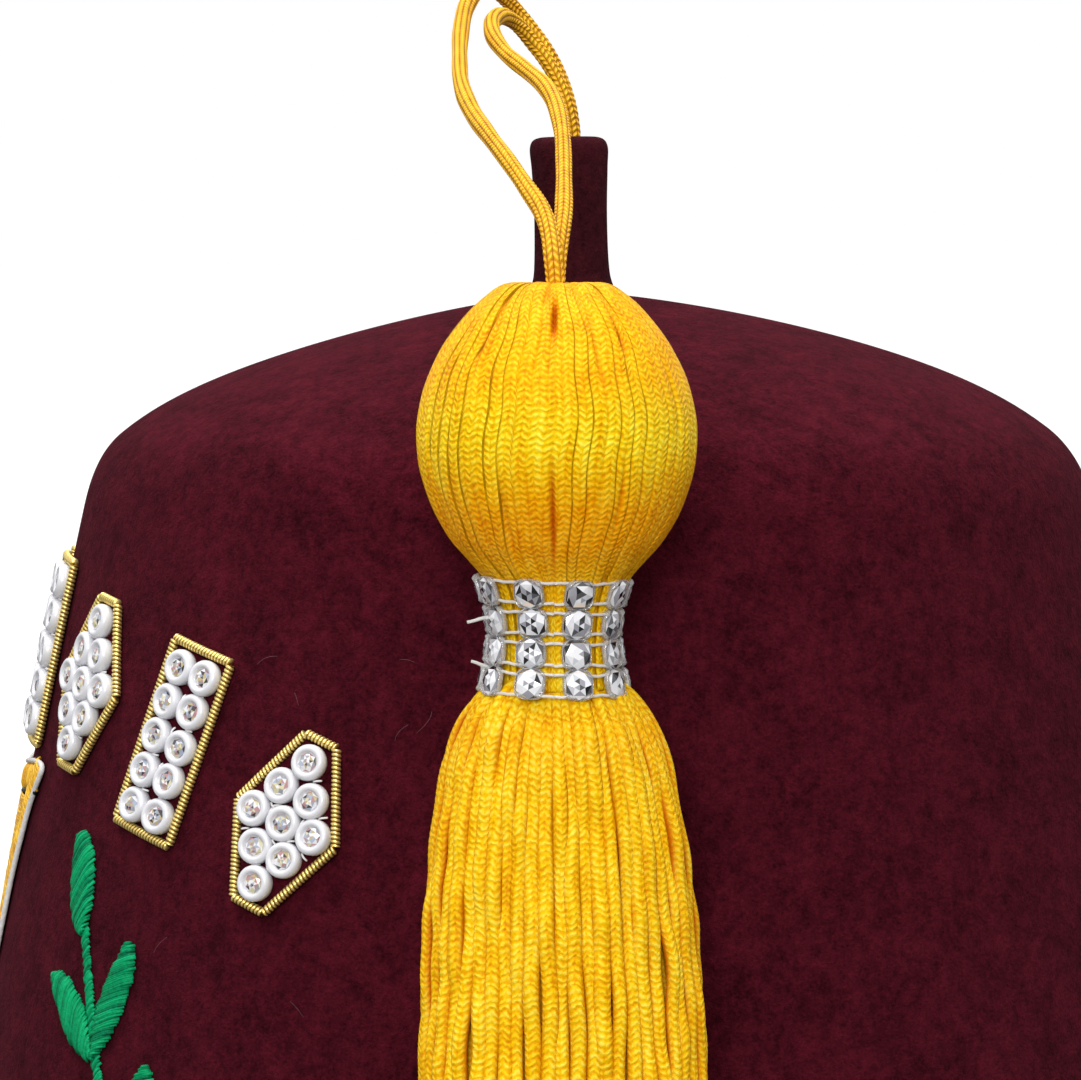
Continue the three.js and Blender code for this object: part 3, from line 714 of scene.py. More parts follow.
def skirt_layer(seed, strands, inset, rings, sides, turns, fine):
    """Tubes hung on the ovals of the skirt, at even distances round them.

    A strand's place is its oval's edge, moved in by the inset and by a slow wander. Near
    the collar the strands are narrower and lie at different depths. turns is the part of
    the oval that the layer covers, from and to, counted from straight out.
    """
    draw = np.random.default_rng(seed)
    shape = smooth_line(SKIRT_SHAPE, 0.5)[::-1]
    oval = np.linspace(-2 * np.pi, 2 * np.pi, 1441)
    _, edge_width, edge_depth = SKIRT_SHAPE[6]
    edge = np.stack([edge_depth * np.cos(oval), edge_width * np.sin(oval)], axis=1)
    walked = np.append(0, np.cumsum(np.linalg.norm(np.diff(edge, axis=0), axis=1)))
    start, end = (np.interp(turn * np.pi, oval, walked) for turn in turns)
    places = start + (np.arange(strands) + 0.5) / strands * (end - start)
    wander = slow_waves(seed + 1, strands, rings, 0.9) * np.linspace(0.15, 1, rings) * 0.9
    angle = np.interp(places[:, None] + wander, walked, oval)
    bottom = SKIRT_BOTTOM + draw.uniform(0.2, 2.2, (strands, 1))
    height = SKIRT_TOP + (bottom - SKIRT_TOP) * np.linspace(0, 1, rings)
    half_width, half_depth = (np.interp(height, shape[:, 0], shape[:, k]) for k in (1, 2))
    crowd = np.clip((CROWDED_WIDTH - half_width) / 6, 0, 1)
    rank = draw.uniform(0, 1, (strands, 1))
    depth = inset + 1.5 * crowd * rank + 0.62 * (1 + slow_waves(seed + 2, strands, rings, 1.5))
    wall = wall_radius(height) / LENGTH_TO_WIDTH + SKIRT_CLEARANCE + half_depth
    middle_x = np.maximum(TASSEL[0], wall)
    middle_y = TASSEL[1] + (SKIRT_TOP - height) * SKIRT_DRIFT
    out = np.stack([np.cos(angle) / half_depth, np.sin(angle) / half_width, 0 * angle], axis=-1)
    paths = np.stack(
        [
            middle_x + (half_depth - depth) * np.cos(angle),
            middle_y + (half_width - depth) * np.sin(angle),
            height,
        ],
        axis=-1,
    )
    full = draw.uniform(0.82, 1.14, (strands, 1)) * (1 - 0.30 * crowd)
    wide, deep = STRAND_HALF_WIDTH * full, STRAND_HALF_DEPTH * full
    points = tubes(paths, unit(out), wide, deep, sides)
    stitch = (SKIRT_TOP - bottom) / STITCH * np.linspace(0, 1, rings)
    way = draw.choice([-1, 1], (strands, 1))
    turn = np.arange(sides + 1) / sides
    twist = 0.35 * slow_waves(seed + 3, strands, rings, 1.0)
    uv = np.empty((strands, rings, sides + 1, 2))
    uv[..., 0] = STRAND_WALES * (turn - 0.25) + 0.5 + twist[..., None]
    uv[..., 1] = (stitch * way + draw.uniform(0, 1, (strands, 1)))[..., None]
    if fine:
        relief = knit_relief(uv[..., :-1, 0], uv[..., :-1, 1])[..., None] - MIDDLE_RELIEF
        centre = paths[:, :, None]
        points = centre + (points - centre) * (1 + STRAND_RELIEF * relief)
    # Painted shade: the sides and back of each strand, the inner layers and the sunken crowded
    # strands take the yarn's darkest colour.
    turned_away = 0.95 * (1 - np.sin(2 * np.pi * turn[:-1])) ** 1.3
    covered = (inset - OUTER_INSET) / 4 + 0.3 * crowd * rank
    return skin(points, uv, hollow=np.clip(turned_away + covered[..., None], 0, 1))


def skirt_core():
    """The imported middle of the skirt: ovals well inside the layers of strands."""
    shape = smooth_line(SKIRT_SHAPE, 3.0)
    height = np.maximum(shape[:, :1], SKIRT_BOTTOM + 2.5)
    half_width, half_depth = shape[:, 1:2] - CORE_INSET, shape[:, 2:] - CORE_INSET
    wall = wall_radius(height) / LENGTH_TO_WIDTH + SKIRT_CLEARANCE + half_depth + CORE_INSET
    angle = 2 * np.pi * np.arange(40) / 40
    x = np.maximum(TASSEL[0], wall) + half_depth * np.cos(angle)
    y = TASSEL[1] + (SKIRT_TOP - height) * SKIRT_DRIFT + half_width * np.sin(angle)
    return skin(np.stack([x, y, height + 0 * x], axis=-1)[None])


skirt_pieces = {  # seed, strands, inset, rings, sides, turns and whether it is fine
    "tassel_skirt_front": [skirt_layer(31, 27, OUTER_INSET, 265, 12, (-0.56, 0.56), True)],
    "tassel_skirt_back": [skirt_layer(41, 21, OUTER_INSET, 96, 8, (0.57, 1.43), False)],
    "tassel_skirt_inner": [
        skirt_layer(51, 38, 2.8, 80, 8, (0.0, 2.0), False),
        skirt_layer(61, 28, 4.9, 60, 8, (0.0, 2.0), False),
        skirt_core(),
    ],
}
for name, skins in skirt_pieces.items():
    make_piece(name, skins, [tassel_yarn.material], "tassel_yarn", "tassel_skirt")

# ---- Collar -----------------------------------------------------------------------------
# A band of clear faceted stones in clear plastic claw settings, four rows of nine. It is
# strung on pairs of white nylon threads and wrapped round the neck of the tassel.

COLLAR_SHAPE = [(87.3, 11.5), (90.5, 10.7), (96.0, 9.9), (100.0, 10.2), (104.5, 11.5)]
COLLAR_MIDDLE = TASSEL - [0.0, 0.45]  # it sits a little to one side of the tassel's middle
COLLAR_COLUMNS = 9
COLLAR_ROWS = (103.2, 98.7, 94.2, 89.8)
COLLAR_STONE = 2.2  # radius
STONE_SIDES = 6
SETTING = 2.28  # half the width of a setting
CLAW_RISE = 0.34
CLAW_BEND = 0.10  # how far a claw bends in over its stone, as a share of its radius
THREAD_RADIUS = 0.24
THREAD_OFFSET = 1.5  # from the middle of a row to the thread above or below it
LOOSE_END_RADIUS = 0.30
ROW_WAVE = 0.35  # how far the rows rise and fall round the neck
ROW_TURN = 2.6


def collar_radius(height):
    """Radius of the band at a height, on a smooth line through its sections."""
    shape = smooth_line(COLLAR_SHAPE, 0.4)
    return np.interp(height, shape[:, 0], shape[:, 1])


def collar_places():
    """Middle and directions (side, up, out) of each stone, from the band's own slope."""
    draw = np.random.default_rng(71)
    column = np.repeat(np.arange(COLLAR_COLUMNS), len(COLLAR_ROWS))
    angle = 2 * np.pi * (column + 0.5) / COLLAR_COLUMNS + draw.normal(0, 0.02, len(column))
    height = np.tile(COLLAR_ROWS, COLLAR_COLUMNS) + ROW_WAVE * np.sin(angle + ROW_TURN)
    radius = collar_radius(height) - 1.0
    slope = collar_radius(height + 0.5) - collar_radius(height - 0.5)
    up = unit(np.stack([slope * np.cos(angle), slope * np.sin(angle), 1 + 0 * angle], axis=-1))
    side = np.stack([-np.sin(angle), np.cos(angle), 0 * angle], axis=-1)
    tipped = unit(up + side * draw.normal(0, 0.05, (len(column), 1)))
    out = unit(np.cross(side, tipped) + draw.normal(0, 0.035, (len(column), 3)))
    side = np.cross(tipped, out)
    middle = np.stack(
        [
            COLLAR_MIDDLE[0] + radius * np.cos(angle),
            COLLAR_MIDDLE[1] + radius * np.sin(angle),
            height,
        ],
        axis=-1,
    )
    return middle, np.stack([side, tipped, out], axis=1)


def rings_of(profile, columns, corner=2.0, twist=0.0):
    """A grid of rings of (radius, height) rows about z. corner 2 is round, more is squarer.

    A ring's radius is radius * (|cos|^corner + |sin|^corner)^(-1/corner), and each ring
    is turned by twist columns more than the one before it.
    """
    row = np.arange(len(profile))[:, None]
    angle = 2 * np.pi * (np.arange(columns) + twist * row) / columns
    square = np.abs(np.cos(angle)) ** corner + np.abs(np.sin(angle)) ** corner
    radius = np.array(profile)[:, :1] * square ** (-1 / corner)
    height = np.array(profile)[:, 1:] + 0 * radius
    return np.stack([radius * np.cos(angle), radius * np.sin(angle), height], axis=-1)


def copies(grid, middle, directions):
    """A copy of a grid at each middle, its x, y and z along that place's directions."""
    return middle[:, None, None] + np.einsum("rcx,kxy->krcy", grid, directions)


def facet_uv(seed, pieces, rings, columns):
    """A random number for each facet, as a uv that is read at the facet's first corner."""
    return np.random.default_rng(seed).uniform(0, 1, (pieces, rings, columns + 1, 2))


def stone_with_painted_reflections(name, stops, **sockets):
    """Glass with a foil back, whose facets carry painted reflections: each gets one flat tone
    that stands in for what it would mirror inside.
    """
    finish = Finish(name, **sockets)
    finish.colour(finish.ramp(finish.uv("X"), stops, "CONSTANT"))
    return finish


# Painted reflections: facets from black through greys to white.
collar_glass = stone_with_painted_reflections(
    "collar_glass",
    [
        (0.0, (0.006, 0.006, 0.008)),
        (0.12, (0.09, 0.09, 0.10)),
        (0.22, (0.38, 0.38, 0.42)),
        (0.40, (0.70, 0.71, 0.75)),
        (0.58, (0.97, 0.97, 1.0)),
    ],
    Metallic=0.25,
    Roughness=0.06,
    Coat_Weight=1.0,
    Coat_Roughness=0.02,
)
setting_plastic = Finish(
    "setting_plastic",
    Base_Color=(0.92, 0.92, 0.95, 1.0),
    Roughness=0.14,
    Transmission_Weight=0.75,
    Coat_Weight=0.6,
)
nylon_thread = Finish(
    "nylon_thread",
    Base_Color=(0.93, 0.92, 0.89, 1.0),
    Roughness=0.35,
    Transmission_Weight=0.4,
)

stone_rows = [(0.96, 0.35), (1.0, 0.78), (0.86, 1.12), (0.42, 1.42)]
stone_grid = rings_of([(r * COLLAR_STONE, z) for r, z in stone_rows], STONE_SIDES, twist=0.5)
setting_rows = [
    (0.85, 0.0), (1.0, 0.2), (1.0, 0.65), (0.99, 0.85), (0.95, 0.92), (0.93, 0.7), (0.9, 0.3),
]
setting_grid = rings_of([(r * SETTING, z) for r, z in setting_rows], 32, corner=3.6)
corner_angle = np.arctan2(setting_grid[..., 1], setting_grid[..., 0])
raised_rows = np.array([0, 0, 0.2, 1, 1, 0.6, 0])[:, None]
bent_rows = np.array([0, 0, 0, 0.5, 1, 1, 0])[:, None]
claws = raised_rows * np.abs(np.sin(2 * corner_angle)) ** 8
setting_grid[..., 2] += CLAW_RISE * claws
setting_grid[..., :2] *= 1 - CLAW_BEND * (claws * bent_rows)[..., None]
places = collar_places()


def collar_threads():
    """Rings of thread just above and below each row, pressed in between the stones."""
    angle = np.linspace(0, 2 * np.pi, 217)
    heights = [row + side * THREAD_OFFSET for row in COLLAR_ROWS for side in (-1, 1)]
    heights = np.array(heights)[:, None]
    wave = 0.16 * slow_waves(72, len(heights), len(angle), 6)
    height = heights + ROW_WAVE * np.sin(angle + ROW_TURN) + wave
    pressed = 0.22 * np.cos(COLLAR_COLUMNS * angle)
    radius = collar_radius(height) - 0.42 - pressed * 0.6
    x = COLLAR_MIDDLE[0] + radius * np.cos(angle)
    y = COLLAR_MIDDLE[1] + radius * np.sin(angle)
    paths = np.stack([x, y, height], axis=-1)
    outward = np.stack([np.cos(angle), np.sin(angle), 0 * angle], axis=-1)
    size = np.full(height.shape, THREAD_RADIUS)
    return skin(tubes(paths, outward[None], size, size, 8))


def loose_ends():
    """Two cut ends of thread that stick out towards the front of the hat."""
    ends = [
        [(92.8, -15.2, 99.4), (93.4, -16.6, 99.2), (93.6, -17.6, 98.9), (93.8, -18.6, 98.7)],
        [(93.0, -14.8, 91.9), (93.6, -16.2, 92.4), (93.9, -17.4, 92.9), (94.0, -18.6, 93.2)],
    ]
    paths = np.stack([smooth_line(end, 0.1)[:36] for end in ends])
    size = np.full(paths.shape[:2], LOOSE_END_RADIUS) * np.linspace(1, 0.75, paths.shape[1])
    return skin(tubes(paths, UPWARD, size, size, 8))


# Painted reflections: a random tone for each facet of the collar stones.
stone_painted_reflections = facet_uv(73, len(places[0]), len(stone_rows), STONE_SIDES)
collar_pieces = {
    "stones": ([skin(copies(stone_grid, *places), stone_painted_reflections, faceted=True)], collar_glass),
    "settings": ([skin(copies(setting_grid, *places))], setting_plastic),
    "threads": ([collar_threads(), loose_ends()], nylon_thread),
}
for name, (skins, finish) in collar_pieces.items():
    make_piece("collar_" + name, skins, [finish.material], "crystal_band", "tassel_collar")

# ---- Jewelled ornaments -----------------------------------------------------------------
# Lozenges and batons of pearly cups, each with a small iridescent stone set in it. They are
# sewn side by side on the felt inside an outline of gold purl, a hollow coil of fine wire.

STONE_PITCH = 5.6
ORNAMENT_BORDER = 1.4  # from the outermost stones to the purl
ORNAMENT_PITCH = 25.0  # round the wall, from one ornament to the next
ARC_TOP = 88.4  # height of the arc at the front
ARC_RADIUS = 173.0
LEAN_PER_MILLIMETRE = 0.24  # degrees that an ornament leans away from the front
PURL_RADIUS = 0.66
PURL_COIL = 0.66  # from one coil to the next
PURL_RINGS = 6  # rings of points to a coil
PURL_SIDES = 10
PURL_WAVE = 0.16  # how far the coils stand out, as a share of the wire's radius
SEWN_GAP = 0.15  # between the felt and what is sewn on it
GEM_SIDES = 7
SEWING_RADIUS = 0.17
LOZENGE_ROWS = (1, 2, 3, 2, 1)
LOZENGE_ROW_PITCH = 0.88 * STONE_PITCH
BATON_ROWS = (2, 2, 2, 2, 2)


def wall_point(angle, height):
    """A point of the wall. The angle runs from the front towards the wearer's left."""
    length = wall_radius(height)
    x, y = length / LENGTH_TO_WIDTH * np.sin(angle), -length * np.cos(angle)
    return np.stack([x, y, height + 0 * x], axis=-1)


def on_wall(flat, distance, height, lean, side=1):
    """Lays flat points (x round the wall away from the front, y up, z out) on the wall.

    The place's distance from the front is walked along the oval at its height. A lean, in
    degrees, tips the top away from the front. side -1 mirrors it to the wearer's right.
    """
    table = np.linspace(0, np.pi / 2, 2000)
    steps = np.linalg.norm(np.diff(wall_point(table, height), axis=0), axis=1)
    walked = np.append(0, np.cumsum(steps))
    angle = np.interp(distance, walked, table)
    rate = np.interp(angle, table[1:], steps) / (table[1] - table[0])
    turn = math.radians(lean)
    across = flat[..., 0] * math.cos(turn) + flat[..., 1] * math.sin(turn)
    rise = flat[..., 1] * math.cos(turn) - flat[..., 0] * math.sin(turn)
    at = angle + across / rate
    level = height + rise / math.hypot(1, WALL_TAPER)
    radius, slope = wall_radius(level), -WALL_TAPER - 2 * WALL_BEND * level
    sine, cosine = np.sin(at), np.cos(at)
    round_wall = np.stack([radius / LENGTH_TO_WIDTH * cosine, radius * sine, 0 * at], axis=-1)
    up_wall = np.stack([slope / LENGTH_TO_WIDTH * sine, -slope * cosine, 1 + 0 * at], axis=-1)
    outward = unit(np.cross(round_wall, up_wall))
    points = wall_point(at, level) + outward * (SEWN_GAP + flat[..., 2:])
    return points * np.array([side, 1, 1])


def stone_middles(rows, row_pitch):
    """Middles of the stones: each row is centred, with one stone's width between them."""
    return np.array(
        [
            ((k - (size - 1) / 2) * STONE_PITCH, (j - (len(rows) - 1) / 2) * row_pitch, 0.0)
            for j, size in enumerate(rows)
            for k in range(size)
        ]
    )


def purl_outline(corners):
    """Tubes of coiled wire from corner to corner, and their uv: length and side in coils.

    Their radius is radius * (1 + a share of a helical wave with sharpened grooves).
    """
    skins = []
    for start, end in zip(corners, np.roll(corners, -1, axis=0)):
        length = np.linalg.norm(end - start)
        rings = max(4, round(length / PURL_COIL * PURL_RINGS))
        path = start + (end - start) * np.linspace(0.012, 0.988, rings)[:, None]
        path = np.concatenate([path, np.full((rings, 1), PURL_RADIUS + 0.15)], axis=1)
        turn = np.arange(PURL_SIDES + 1) / PURL_SIDES
        coil = np.arange(rings)[:, None] / PURL_RINGS + turn
        wave = 2 * np.abs(np.sin(np.pi * coil[:, :-1])) - 1
        size = np.full((1, rings), PURL_RADIUS)
        grid = tubes(path[None], UPWARD, size, size, PURL_SIDES)
        centre = path[None, :, None]
        grid = centre + (grid - centre) * (1 + PURL_WAVE * wave)[None, ..., None]
        skins.append((grid, np.stack([coil, 0 * coil], axis=-1)[None]))
    return skins


def felt_pad(corners, inset):
    """A thin pad inside the outline, which the stones are sewn to."""
    ring = corners * inset
    t = np.linspace(0, 1, 6, endpoint=False)[:, None]
    ring = np.concatenate([a + (b - a) * t for a, b in zip(ring, np.roll(ring, -1, axis=0))])
    rows = [(1.0, 0.0), (1.0, 0.35), (0.97, 0.5), (0.5, 0.52)]
    return np.stack([np.column_stack([ring * size, np.full(len(ring), z)]) for size, z in rows])


def sewing(middles, seed):
    """Short ends of white thread that show between neighbouring stones."""
    draw = np.random.default_rng(seed)
    gaps = middles[:, None, :2] - middles[None, :, :2]
    near = np.argwhere(np.triu(np.hypot(*gaps.transpose(2, 0, 1)) < STONE_PITCH * 1.08, 1))
    middle = (middles[near[:, 0]] + middles[near[:, 1]]) / 2
    along = middles[near[:, 1]] - middles[near[:, 0]]
    across = unit(np.stack([-along[:, 1], along[:, 0], 0 * along[:, 0]], axis=1))
    reach = draw.uniform(-1.9, 1.9, (len(near), 1, 1)) + np.linspace(-0.7, 0.7, 9)[:, None]
    paths = middle[:, None] + across[:, None] * reach
    paths[..., 2] = 1.5 - 0.5 * np.linspace(-1, 1, 9) ** 2
    size = np.full(paths.shape[:2], SEWING_RADIUS)
    return tubes(paths, UPWARD, size, size, 6)


pearl_cup = Finish(
    "pearl_cup",
    Base_Color=(0.68, 0.68, 0.71, 1.0),
    Roughness=0.3,
    Coat_Weight=0.5,
    Coat_Roughness=0.1,
)
# Painted reflections; the yellow, pink and blue facets also stand for the stone's iridescent
# coating.
iridescent_stone = stone_with_painted_reflections(
    "iridescent_stone",
    [
        (0.0, (0.06, 0.055, 0.06)),
        (0.12, (0.52, 0.42, 0.22)),
        (0.24, (0.72, 0.66, 0.42)),
        (0.36, (0.48, 0.26, 0.26)),
        (0.50, (0.40, 0.45, 0.58)),
        (0.62, (0.36, 0.36, 0.38)),
        (0.80, (0.84, 0.84, 0.86)),
    ],
    Metallic=0.2,
    Roughness=0.07,
    Coat_Weight=1.0,
    Coat_Roughness=0.03,
)
sewing_thread = Finish("sewing_thread", Base_Color=(0.82, 0.80, 0.80, 1.0), Roughness=0.7)
gold_purl = Finish("gold_purl", Metallic=0.75, Roughness=0.34)
# Painted shade in the grooves between the coils and a painted highlight on their crests, along
# each coil's turn.
purl_turn = gold_purl.math("MULTIPLY", gold_purl.math("FRACT", gold_purl.uv("X")), math.pi)
purl_shade_and_highlight = [(0.2, (0.14, 0.07, 0.008)), (0.6, (0.78, 0.52, 0.11)), (0.95, (1.0, 0.80, 0.30))]
gold_purl.colour(gold_purl.ramp(gold_purl.math("SINE", purl_turn), purl_shade_and_highlight))

cup_rows = [
    (0.92, 0.4), (0.985, 0.9), (1.0, 1.5), (0.985, 2.0), (0.92, 2.36), (0.80, 2.56),
    (0.68, 2.54), (0.59, 2.34), (0.555, 2.0), (0.2, 1.9),
]
gem_rows = [(0.53, 1.7), (0.54, 2.06), (0.40, 2.34), (0.20, 2.44)]
cup_grid = rings_of([(r * STONE_PITCH / 2, z) for r, z in cup_rows], 28)
gem_grid = rings_of([(r * STONE_PITCH / 2, z) for r, z in gem_rows], GEM_SIDES, twist=0.5)
lozenge_half = STONE_PITCH * max(LOZENGE_ROWS) / 2 + ORNAMENT_BORDER - 0.45
lozenge_tip = STONE_PITCH / 2 + ORNAMENT_BORDER - 1.3
lozenge_end = LOZENGE_ROW_PITCH * 2 + STONE_PITCH / 2 + ORNAMENT_BORDER - 0.5
baton_half = STONE_PITCH * BATON_ROWS[0] / 2 + ORNAMENT_BORDER - 0.6
baton_end = STONE_PITCH * len(BATON_ROWS) / 2 + ORNAMENT_BORDER - 0.6
ORNAMENTS = {
    "lozenge": (
        stone_middles(LOZENGE_ROWS, LOZENGE_ROW_PITCH),
        np.array([
            (lozenge_tip, lozenge_end), (-lozenge_tip, lozenge_end), (-lozenge_half, 0.0),
            (-lozenge_tip, -lozenge_end), (lozenge_tip, -lozenge_end), (lozenge_half, 0.0),
        ]),
    ),
    "baton": (
        stone_middles(BATON_ROWS, STONE_PITCH),
        np.array([
            (baton_half, baton_end), (-baton_half, baton_end),
            (-baton_half, -baton_end), (baton_half, -baton_end),
        ]),
    ),
}


def ornament(kind, pair, place, side):
    """Cups, stones, pad and sewing in one piece, and their purl outline in another."""
    name = f"{kind}_{pair}_{'left' if side > 0 else 'right'}"
    middles, corners = ORNAMENTS[kind]
    seed = 100 + sum(map(ord, name))
    draw = np.random.default_rng(seed)
    count = len(middles)
    out = unit(UPWARD + draw.normal(0, 0.045, (count, 3)))
    turn = draw.uniform(0, 2 * np.pi, count)
    first = np.stack([np.cos(turn), np.sin(turn), 0 * turn], axis=-1)
    up = unit(np.cross(out, first))
    directions = np.stack([np.cross(up, out), up, out], axis=1)
    middles = middles + draw.normal(0, 0.08, middles.shape) * [1, 1, 0]
    cups = on_wall(copies(cup_grid, middles, directions), **place, side=side)
    gems = on_wall(copies(gem_grid, middles, directions), **place, side=side)
    pad = on_wall(felt_pad(corners, 0.93)[None], **place, side=side)
    threads = on_wall(sewing(middles, seed), **place, side=side)
    # Painted reflections: a random tone for each facet of the small stones.
    gem_painted_reflections = facet_uv(seed, count, len(gem_rows), GEM_SIDES)
    stones = [
        skin(cups),
        skin(gems, gem_painted_reflections, material=1, faceted=True),
        skin(pad, material=2),
        skin(threads, material=3),
    ]
    finishes = [pearl_cup, iridescent_stone, crown_felt, sewing_thread]
    make_piece(name + "_stones", stones, [f.material for f in finishes], "sewn_stones", name)
    purl = purl_outline(corners)
    purl = [skin(on_wall(grid, **place, side=side), uv) for grid, uv in purl]
    make_piece(name + "_purl", purl, [gold_purl.material], "sewn_stones", name)


for step in range(4):
    distance = ORNAMENT_PITCH * (step + 0.5)
    arc_drop = distance**2 / (2 * ARC_RADIUS)
    place = {
        "distance": distance,
        "height": ARC_TOP - arc_drop,
        "lean": LEAN_PER_MILLIMETRE * distance,
    }
    for side in (1, -1):
        ornament(("baton", "lozenge")[step % 2], ("inner", "outer")[step // 2], place, side)

# ---- Lint -------------------------------------------------------------------------------
# Loose fibres that have settled on the felt, mostly round the tassel. They are a little
# paler than the nap.

LINT_COUNT = 34
LINT_RADIUS = 0.02
lint = Finish("lint", Base_Color=(0.17, 0.09, 0.10, 1.0), Roughness=0.9)


def lint_fibres(count, seed):
    """Arcs on the wall: each leaves at its own angle and bends by the square of the way."""
    draw = np.random.default_rng(seed)
    t = np.linspace(0, 1, 12)
    fibres = []
    for _ in range(count):
        angle = draw.uniform(0, 2 * np.pi)
        length = draw.uniform(1.2, 3.6)
        bend = draw.normal(0, 1.2)
        ahead, aside = length * t, length * bend * t**2 / 2
        x = ahead * np.cos(angle) - aside * np.sin(angle)
        y = ahead * np.sin(angle) + aside * np.cos(angle)
        path = np.stack([x, y, 0.12 + 0.35 * np.sin(np.pi * t)], axis=1)
        size = np.full((1, len(t)), LINT_RADIUS)
        grid = tubes(path[None], UPWARD, size, size, 5)
        distance, height = draw.normal(145, 45), draw.uniform(8, 100)
        fibres.append(skin(on_wall(grid, distance, height, 0.0)))
    return fibres


make_piece("crown_lint", lint_fibres(LINT_COUNT, 121), [lint.material], "felt", "crown")

# ---- Crest ------------------------------------------------------------------------------
# A padded shield on the front, wholly of satin stitch: a gold border edged with white cord
# and lined with dark stitches, round three upright panels.

CREST_HEIGHT = 50.0
CREST_MIDDLE = 45.0  # height of its middle above the rim
CREST_SHAPE = [  # share of half the height, and half the width there
    (-1.0, 1.5), (-0.7, 9.0), (-0.2, 14.0), (0.3, 17.0), (0.7, 21.0), (1.0, 25.5),
]
CREST_BORDER = 4.6
PANEL_GAP = np.array([0.25, 0.0])  # from the dark line between two panels to their threads
STITCH_PITCH = 0.40  # between neighbouring threads of satin stitch
SATIN_RADIUS = 0.27


def satin(starts, ends, lift, seed, ragged=0.0, points=9):
    """Threads laid side by side from starts to ends, arched by lift in their middles.

    Each thread's uv is a random number across it, for its tone, and its length along it.
    """
    draw = np.random.default_rng(seed)
    away = unit(ends - starts) * ragged
    starts = starts - away * draw.uniform(-1, 1, (len(starts), 1))
    ends = ends + away * draw.uniform(-1, 1, (len(ends), 1))
    t = np.linspace(0, 1, points)[:, None]
    paths = starts[:, None] * (1 - t) + ends[:, None] * t
    arch = (1 - (2 * t[:, 0] - 1) ** 4) * lift
    lie = draw.uniform(-0.06, 0.06, (len(starts), 1))
    paths = np.concatenate([paths, (0.25 + arch + lie)[..., None]], axis=-1)
    size = np.full(paths.shape[:2], SATIN_RADIUS)
    grid = tubes(paths, UPWARD, size, size * 0.8, 6)
    uv = np.empty((len(starts), points, 7, 2))
    uv[..., 0] = draw.uniform(0, 1, (len(starts), 1, 1))
    uv[..., 1] = t * np.linalg.norm(ends - starts, axis=1)[:, None, None]
    return grid, uv


def satin_thread(name, dark, body, light, gloss=0.25):
    """Lustrous embroidery thread: each thread has its own tone, and fine plies along it."""
    finish = Finish(name, Roughness=0.42, Specular_IOR_Level=gloss)
    fibre = finish.noise(finish.place(), 1500.0, 3.0)
    plies = finish.math("MULTIPLY", fibre, 0.5)
    tone = finish.math("MULTIPLY_ADD", finish.uv("X"), 0.55, plies)
    finish.colour(finish.ramp(tone, [(0.15, dark), (0.5, body), (0.9, light)]))
    finish.bump(fibre, 0.0002)
    return finish


def crest_half_width(height):
    """Half the shield's width at a height, straight from one row of its shape to the next."""
    place = np.array(CREST_SHAPE)
    return np.interp(2 * height / CREST_HEIGHT, place[:, 0], place[:, 1])


def crest_outline(step):
    """Points round the shield, from the middle of its top edge and back, at even steps."""
    up = np.linspace(CREST_HEIGHT / 2, -CREST_HEIGHT / 2, 14)
    left = np.column_stack([-crest_half_width(up), up])
    right = np.column_stack([crest_half_width(up[::-1]), up[::-1]])
    top = np.array([[0.0, CREST_HEIGHT / 2 - 1.2]])
    return smooth_line(np.concatenate([top, left, right, top]), step)


def line_of_thread(points, lift, radius):
    """One thread laid along flat points at a height above the felt."""
    path = np.column_stack([points, np.full(len(points), lift)])
    size = np.full((1, len(points)), radius)
    return tubes(path[None], UPWARD, size, size, 8)


gold_satin = satin_thread(
    "gold_satin", (0.55, 0.24, 0.01), (0.84, 0.45, 0.02), (0.95, 0.62, 0.06)
)
white_satin = satin_thread(
    "white_satin", (0.62, 0.60, 0.58), (0.80, 0.79, 0.78), (0.9, 0.9, 0.9)
)
dark_satin = satin_thread(
    "dark_satin", (0.004, 0.004, 0.005), (0.012, 0.011, 0.012), (0.03, 0.03, 0.03)
)
green_satin = satin_thread(
    "green_satin", (0.001, 0.08, 0.040), (0.001, 0.25, 0.09), (0.006, 0.38, 0.15), gloss=0.07
)

outline = crest_outline(STITCH_PITCH)
inward = np.gradient(outline, axis=0)
inward = unit(np.column_stack([-inward[:, 1], inward[:, 0]]))
inward = inward if (inward * -outline).sum() > 0 else -inward
stations = np.arange(-CREST_HEIGHT / 2 + 7, CREST_HEIGHT / 2 - CREST_BORDER - 1, STITCH_PITCH)
half = crest_half_width(stations) - CREST_BORDER - 0.9
edges = [np.column_stack([half * share, stations]) for share in (-1, -0.36, 0.36, 1)]
lining = outline[::2] + inward[::2] * (CREST_BORDER + 0.35)
crest_place = {"distance": 0.0, "height": CREST_MIDDLE, "lean": 0.0}
crest_threads = [  # place of the finish in crest_finishes, then the threads and their uv
    (0, satin(outline + inward * 0.5, outline + inward * CREST_BORDER, 0.7, 81, 0.15)),
    (0, satin(edges[0], edges[1] - PANEL_GAP, 0.5, 82)),
    (3, satin(edges[1] + PANEL_GAP, edges[2] - PANEL_GAP, 0.5, 83)),
    (0, satin(edges[2] + PANEL_GAP, edges[3], 0.5, 84)),
    (1, (line_of_thread(outline + inward * 0.1, 0.62, 0.45), None)),
    (2, (line_of_thread(lining, 0.5, 0.38), None)),
    (2, (line_of_thread(edges[1][2:-1], 0.5, 0.32), None)),
    (2, (line_of_thread(edges[2][2:-1], 0.5, 0.32), None)),
]
crest_skins = [
    skin(on_wall(grid, **crest_place), uv, number) for number, (grid, uv) in crest_threads
]
crest_finishes = [gold_satin, white_satin, dark_satin, green_satin]
crest_materials = [finish.material for finish in crest_finishes]
make_piece("crest_stitching", crest_skins, crest_materials, "gold_stitching", "crest")

# ---- Sprigs -----------------------------------------------------------------------------
# A stalk with a bud and two pairs of leaves on each side of the crest, in green satin
# stitch. The threads slant across each leaf, and their ends leave its edges ragged.

